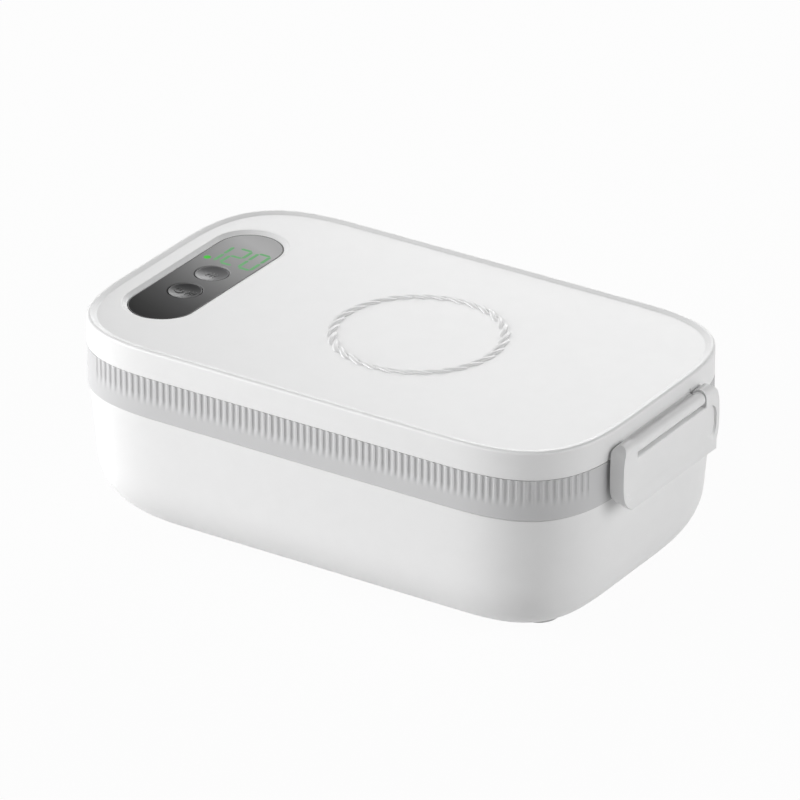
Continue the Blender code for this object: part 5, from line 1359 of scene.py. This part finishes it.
def inlet():
    face = inlet_face()
    back = face + INLET_DEPTH
    flange_front = inlet_flange_front()
    flange_back = flange_front + INLET_FLANGE_THICKNESS
    levels = (
        (-SEAT_GAP, back),
        (-SEAT_GAP, flange_back),
        (INLET_FLANGE, flange_back),
        (INLET_FLANGE, flange_front),
        (-SEAT_GAP, flange_front),
        (-SEAT_GAP, face + INLET_EDGE),
        (-SEAT_GAP - INLET_EDGE / 3, face + INLET_EDGE / 3),
        (-SEAT_GAP - INLET_EDGE, face),
    )
    floor = face + SOCKET_DEPTH
    socket = ((INLET_EDGE, face), (0.0, face + INLET_EDGE), (0.0, floor))
    rings = rings_of(inlet_outline, levels, "X") + rings_of(socket_outline, socket, "X")
    mount(loft("inlet_socket", rings), "base", BLACK, ["inlet_housing"])
    for side, name in zip(BOTH_SIDES, ("inlet_pin_front", "inlet_pin_back")):
        centre = (side * SOCKET_PIN_PITCH / 2, INLET_Z)
        low = floor - SOCKET_PIN_LENGTH
        radius = SOCKET_PIN_RADIUS
        nose = bend((radius / 3, low), (radius, low), (radius, low + radius))
        profile = nose + [(radius, back + SOCKET_TAIL)]
        mount(turned(name + "_rod", profile, BARREL_SIDES, centre, "X"), "base", BRASS, [name])


# Carried-over solids


CARRIED = (
    (("heater_pan", "heating_plate"), ALUMINIUM),
    (("heating_tube", "thermostat", "pan_screw", "power_board_screw", "control_screw"), PLATED),
    (("thermal_fuse", "insulation_pad"), FELT),
    (("power_board", "control_board"), BOARD),
    (("transformer", "capacitor", "key_start_switch", "key_set_switch", "display_module"), BLACK),
    (("inlet_lead", "heater_lead"), SLEEVE),
)


def dress_carried():
    for name, node in frame["nodes"].items():
        if node.hide_render:
            continue
        found = [(stem, surface) for stems, surface in CARRIED for stem in stems if name.startswith(stem)]
        surface = max(found, key=lambda match: len(match[0]))[1]
        for slot in node.material_slots:
            slot.material = surface


# Studio


def white_seen(tree):
    """1 on camera, glossy and transmission rays, 0 on the rays that light the object."""
    rays = tree.nodes.new("ShaderNodeLightPath")
    value = rays.outputs["Is Camera Ray"]
    for name in ("Is Glossy Ray", "Is Transmission Ray"):
        either = tree.nodes.new("ShaderNodeMath")
        either.operation = "MAXIMUM"
        tree.links.new(value, either.inputs[0])
        tree.links.new(rays.outputs[name], either.inputs[1])
        value = either.outputs[0]
    return value


def show_or_light(tree, seen_share, light, seen, output):
    """Mixes what the camera sees with what lights the object."""
    mix = tree.nodes.new("ShaderNodeMixShader")
    for source, socket in ((seen_share, 0), (light, 1), (seen, 2)):
        tree.links.new(source, mix.inputs[socket])
    tree.links.new(mix.outputs["Shader"], tree.nodes[output].inputs["Surface"])


def world():
    studio = bpy.data.worlds.new("studio")
    bpy.context.scene.world = studio
    studio.use_nodes = True
    tree = studio.node_tree
    seen = set_inputs(tree.nodes["Background"], {"Color": PURE_WHITE, "Strength": 1.0})
    light = tree.nodes.new("ShaderNodeBackground")
    set_inputs(light, {"Color": PURE_WHITE, "Strength": WORLD_LEVEL})
    show_or_light(tree, white_seen(tree), light.outputs[0], seen.outputs[0], "World Output")


def floor():
    maker = bmesh.new()
    bmesh.ops.create_grid(maker, x_segments=8, y_segments=8, size=FLOOR_HALF)
    plane = finish("floor", maker)
    surface = Surface("floor_paper", roughness=0.9)
    surface.vary_colour((FLOOR_COLOUR,) * 3, share=0.01, scale=3.0)
    tree = surface.material.node_tree
    glow = set_inputs(tree.nodes.new("ShaderNodeEmission"), {"Color": PURE_WHITE})
    share = tree.nodes.new("ShaderNodeMath")
    share.operation = "MULTIPLY"
    share.inputs[1].default_value = FLOOR_WHITE_SHARE
    tree.links.new(white_seen(tree), share.inputs[0])
    show_or_light(tree, share.outputs[0], surface.shader.outputs[0], glow.outputs[0], "Material Output")
    plane.data.materials.append(surface.material)


def direction(azimuth, elevation):
    flat = cos(elevation)
    return Vector((sin(azimuth) * flat, -cos(azimuth) * flat, sin(elevation)))


def lights():
    """Soft boxes: each level is the light on a white face that looks straight at the box."""
    for name, azimuth, elevation, distance, size, level in LIGHTS:
        lamp = bpy.data.lights.new(name, "AREA")
        lamp.shape = "SQUARE"
        lamp.size = size
        lamp.energy = level * (pi * distance) ** 2
        holder = add_object(name, lamp)
        away = direction(radians(azimuth), radians(elevation))
        holder.location = Vector((0.0, 0.0, LID_TOP / 2)) + away * distance
        holder.rotation_mode = "QUATERNION"
        holder.rotation_quaternion = away.to_track_quat("Z", "Y")


def camera():
    data = bpy.data.cameras.new("camera")
    data.lens = CAMERA_LENS
    data.sensor_width = CAMERA_SENSOR
    data.clip_start, data.clip_end = CAMERA_CLIP
    holder = add_object("camera", data)
    back = direction(CAMERA_AZIMUTH, CAMERA_ELEVATION)
    holder.location = CAMERA_TARGET + back * CAMERA_DISTANCE
    holder.rotation_mode = "QUATERNION"
    holder.rotation_quaternion = (-back).to_track_quat("-Z", "Y")
    bpy.context.scene.camera = holder


camera()
casing()
cover_plate()
feet()
screws("base_screw", "base", grid(*COVER_SCREWS), CASING_BOTTOM, COVER_SEAT + SCREW_BITE)
band()
knuckles("hinge_low", "base", BAND_GREY, 0, -1)
knuckles("hinge_high", "lid", WHITE, 1, 1)
pins()
food_tray()
liner()
seal()
lid_shell()
rope_ring()
latch_barrel()
lens()
display()
key("key_start", KEY_PLACES["key_start"], KEY_START_PAINTED_LIGHT_GREY)
key("key_set", KEY_PLACES["key_set"], KEY_SET_PAINTED_SHADE_GREY)
icons()
latch()
inlet()
dress_carried()
world()
floor()
lights()

bpy.context.scene.view_settings.view_transform = "Standard"
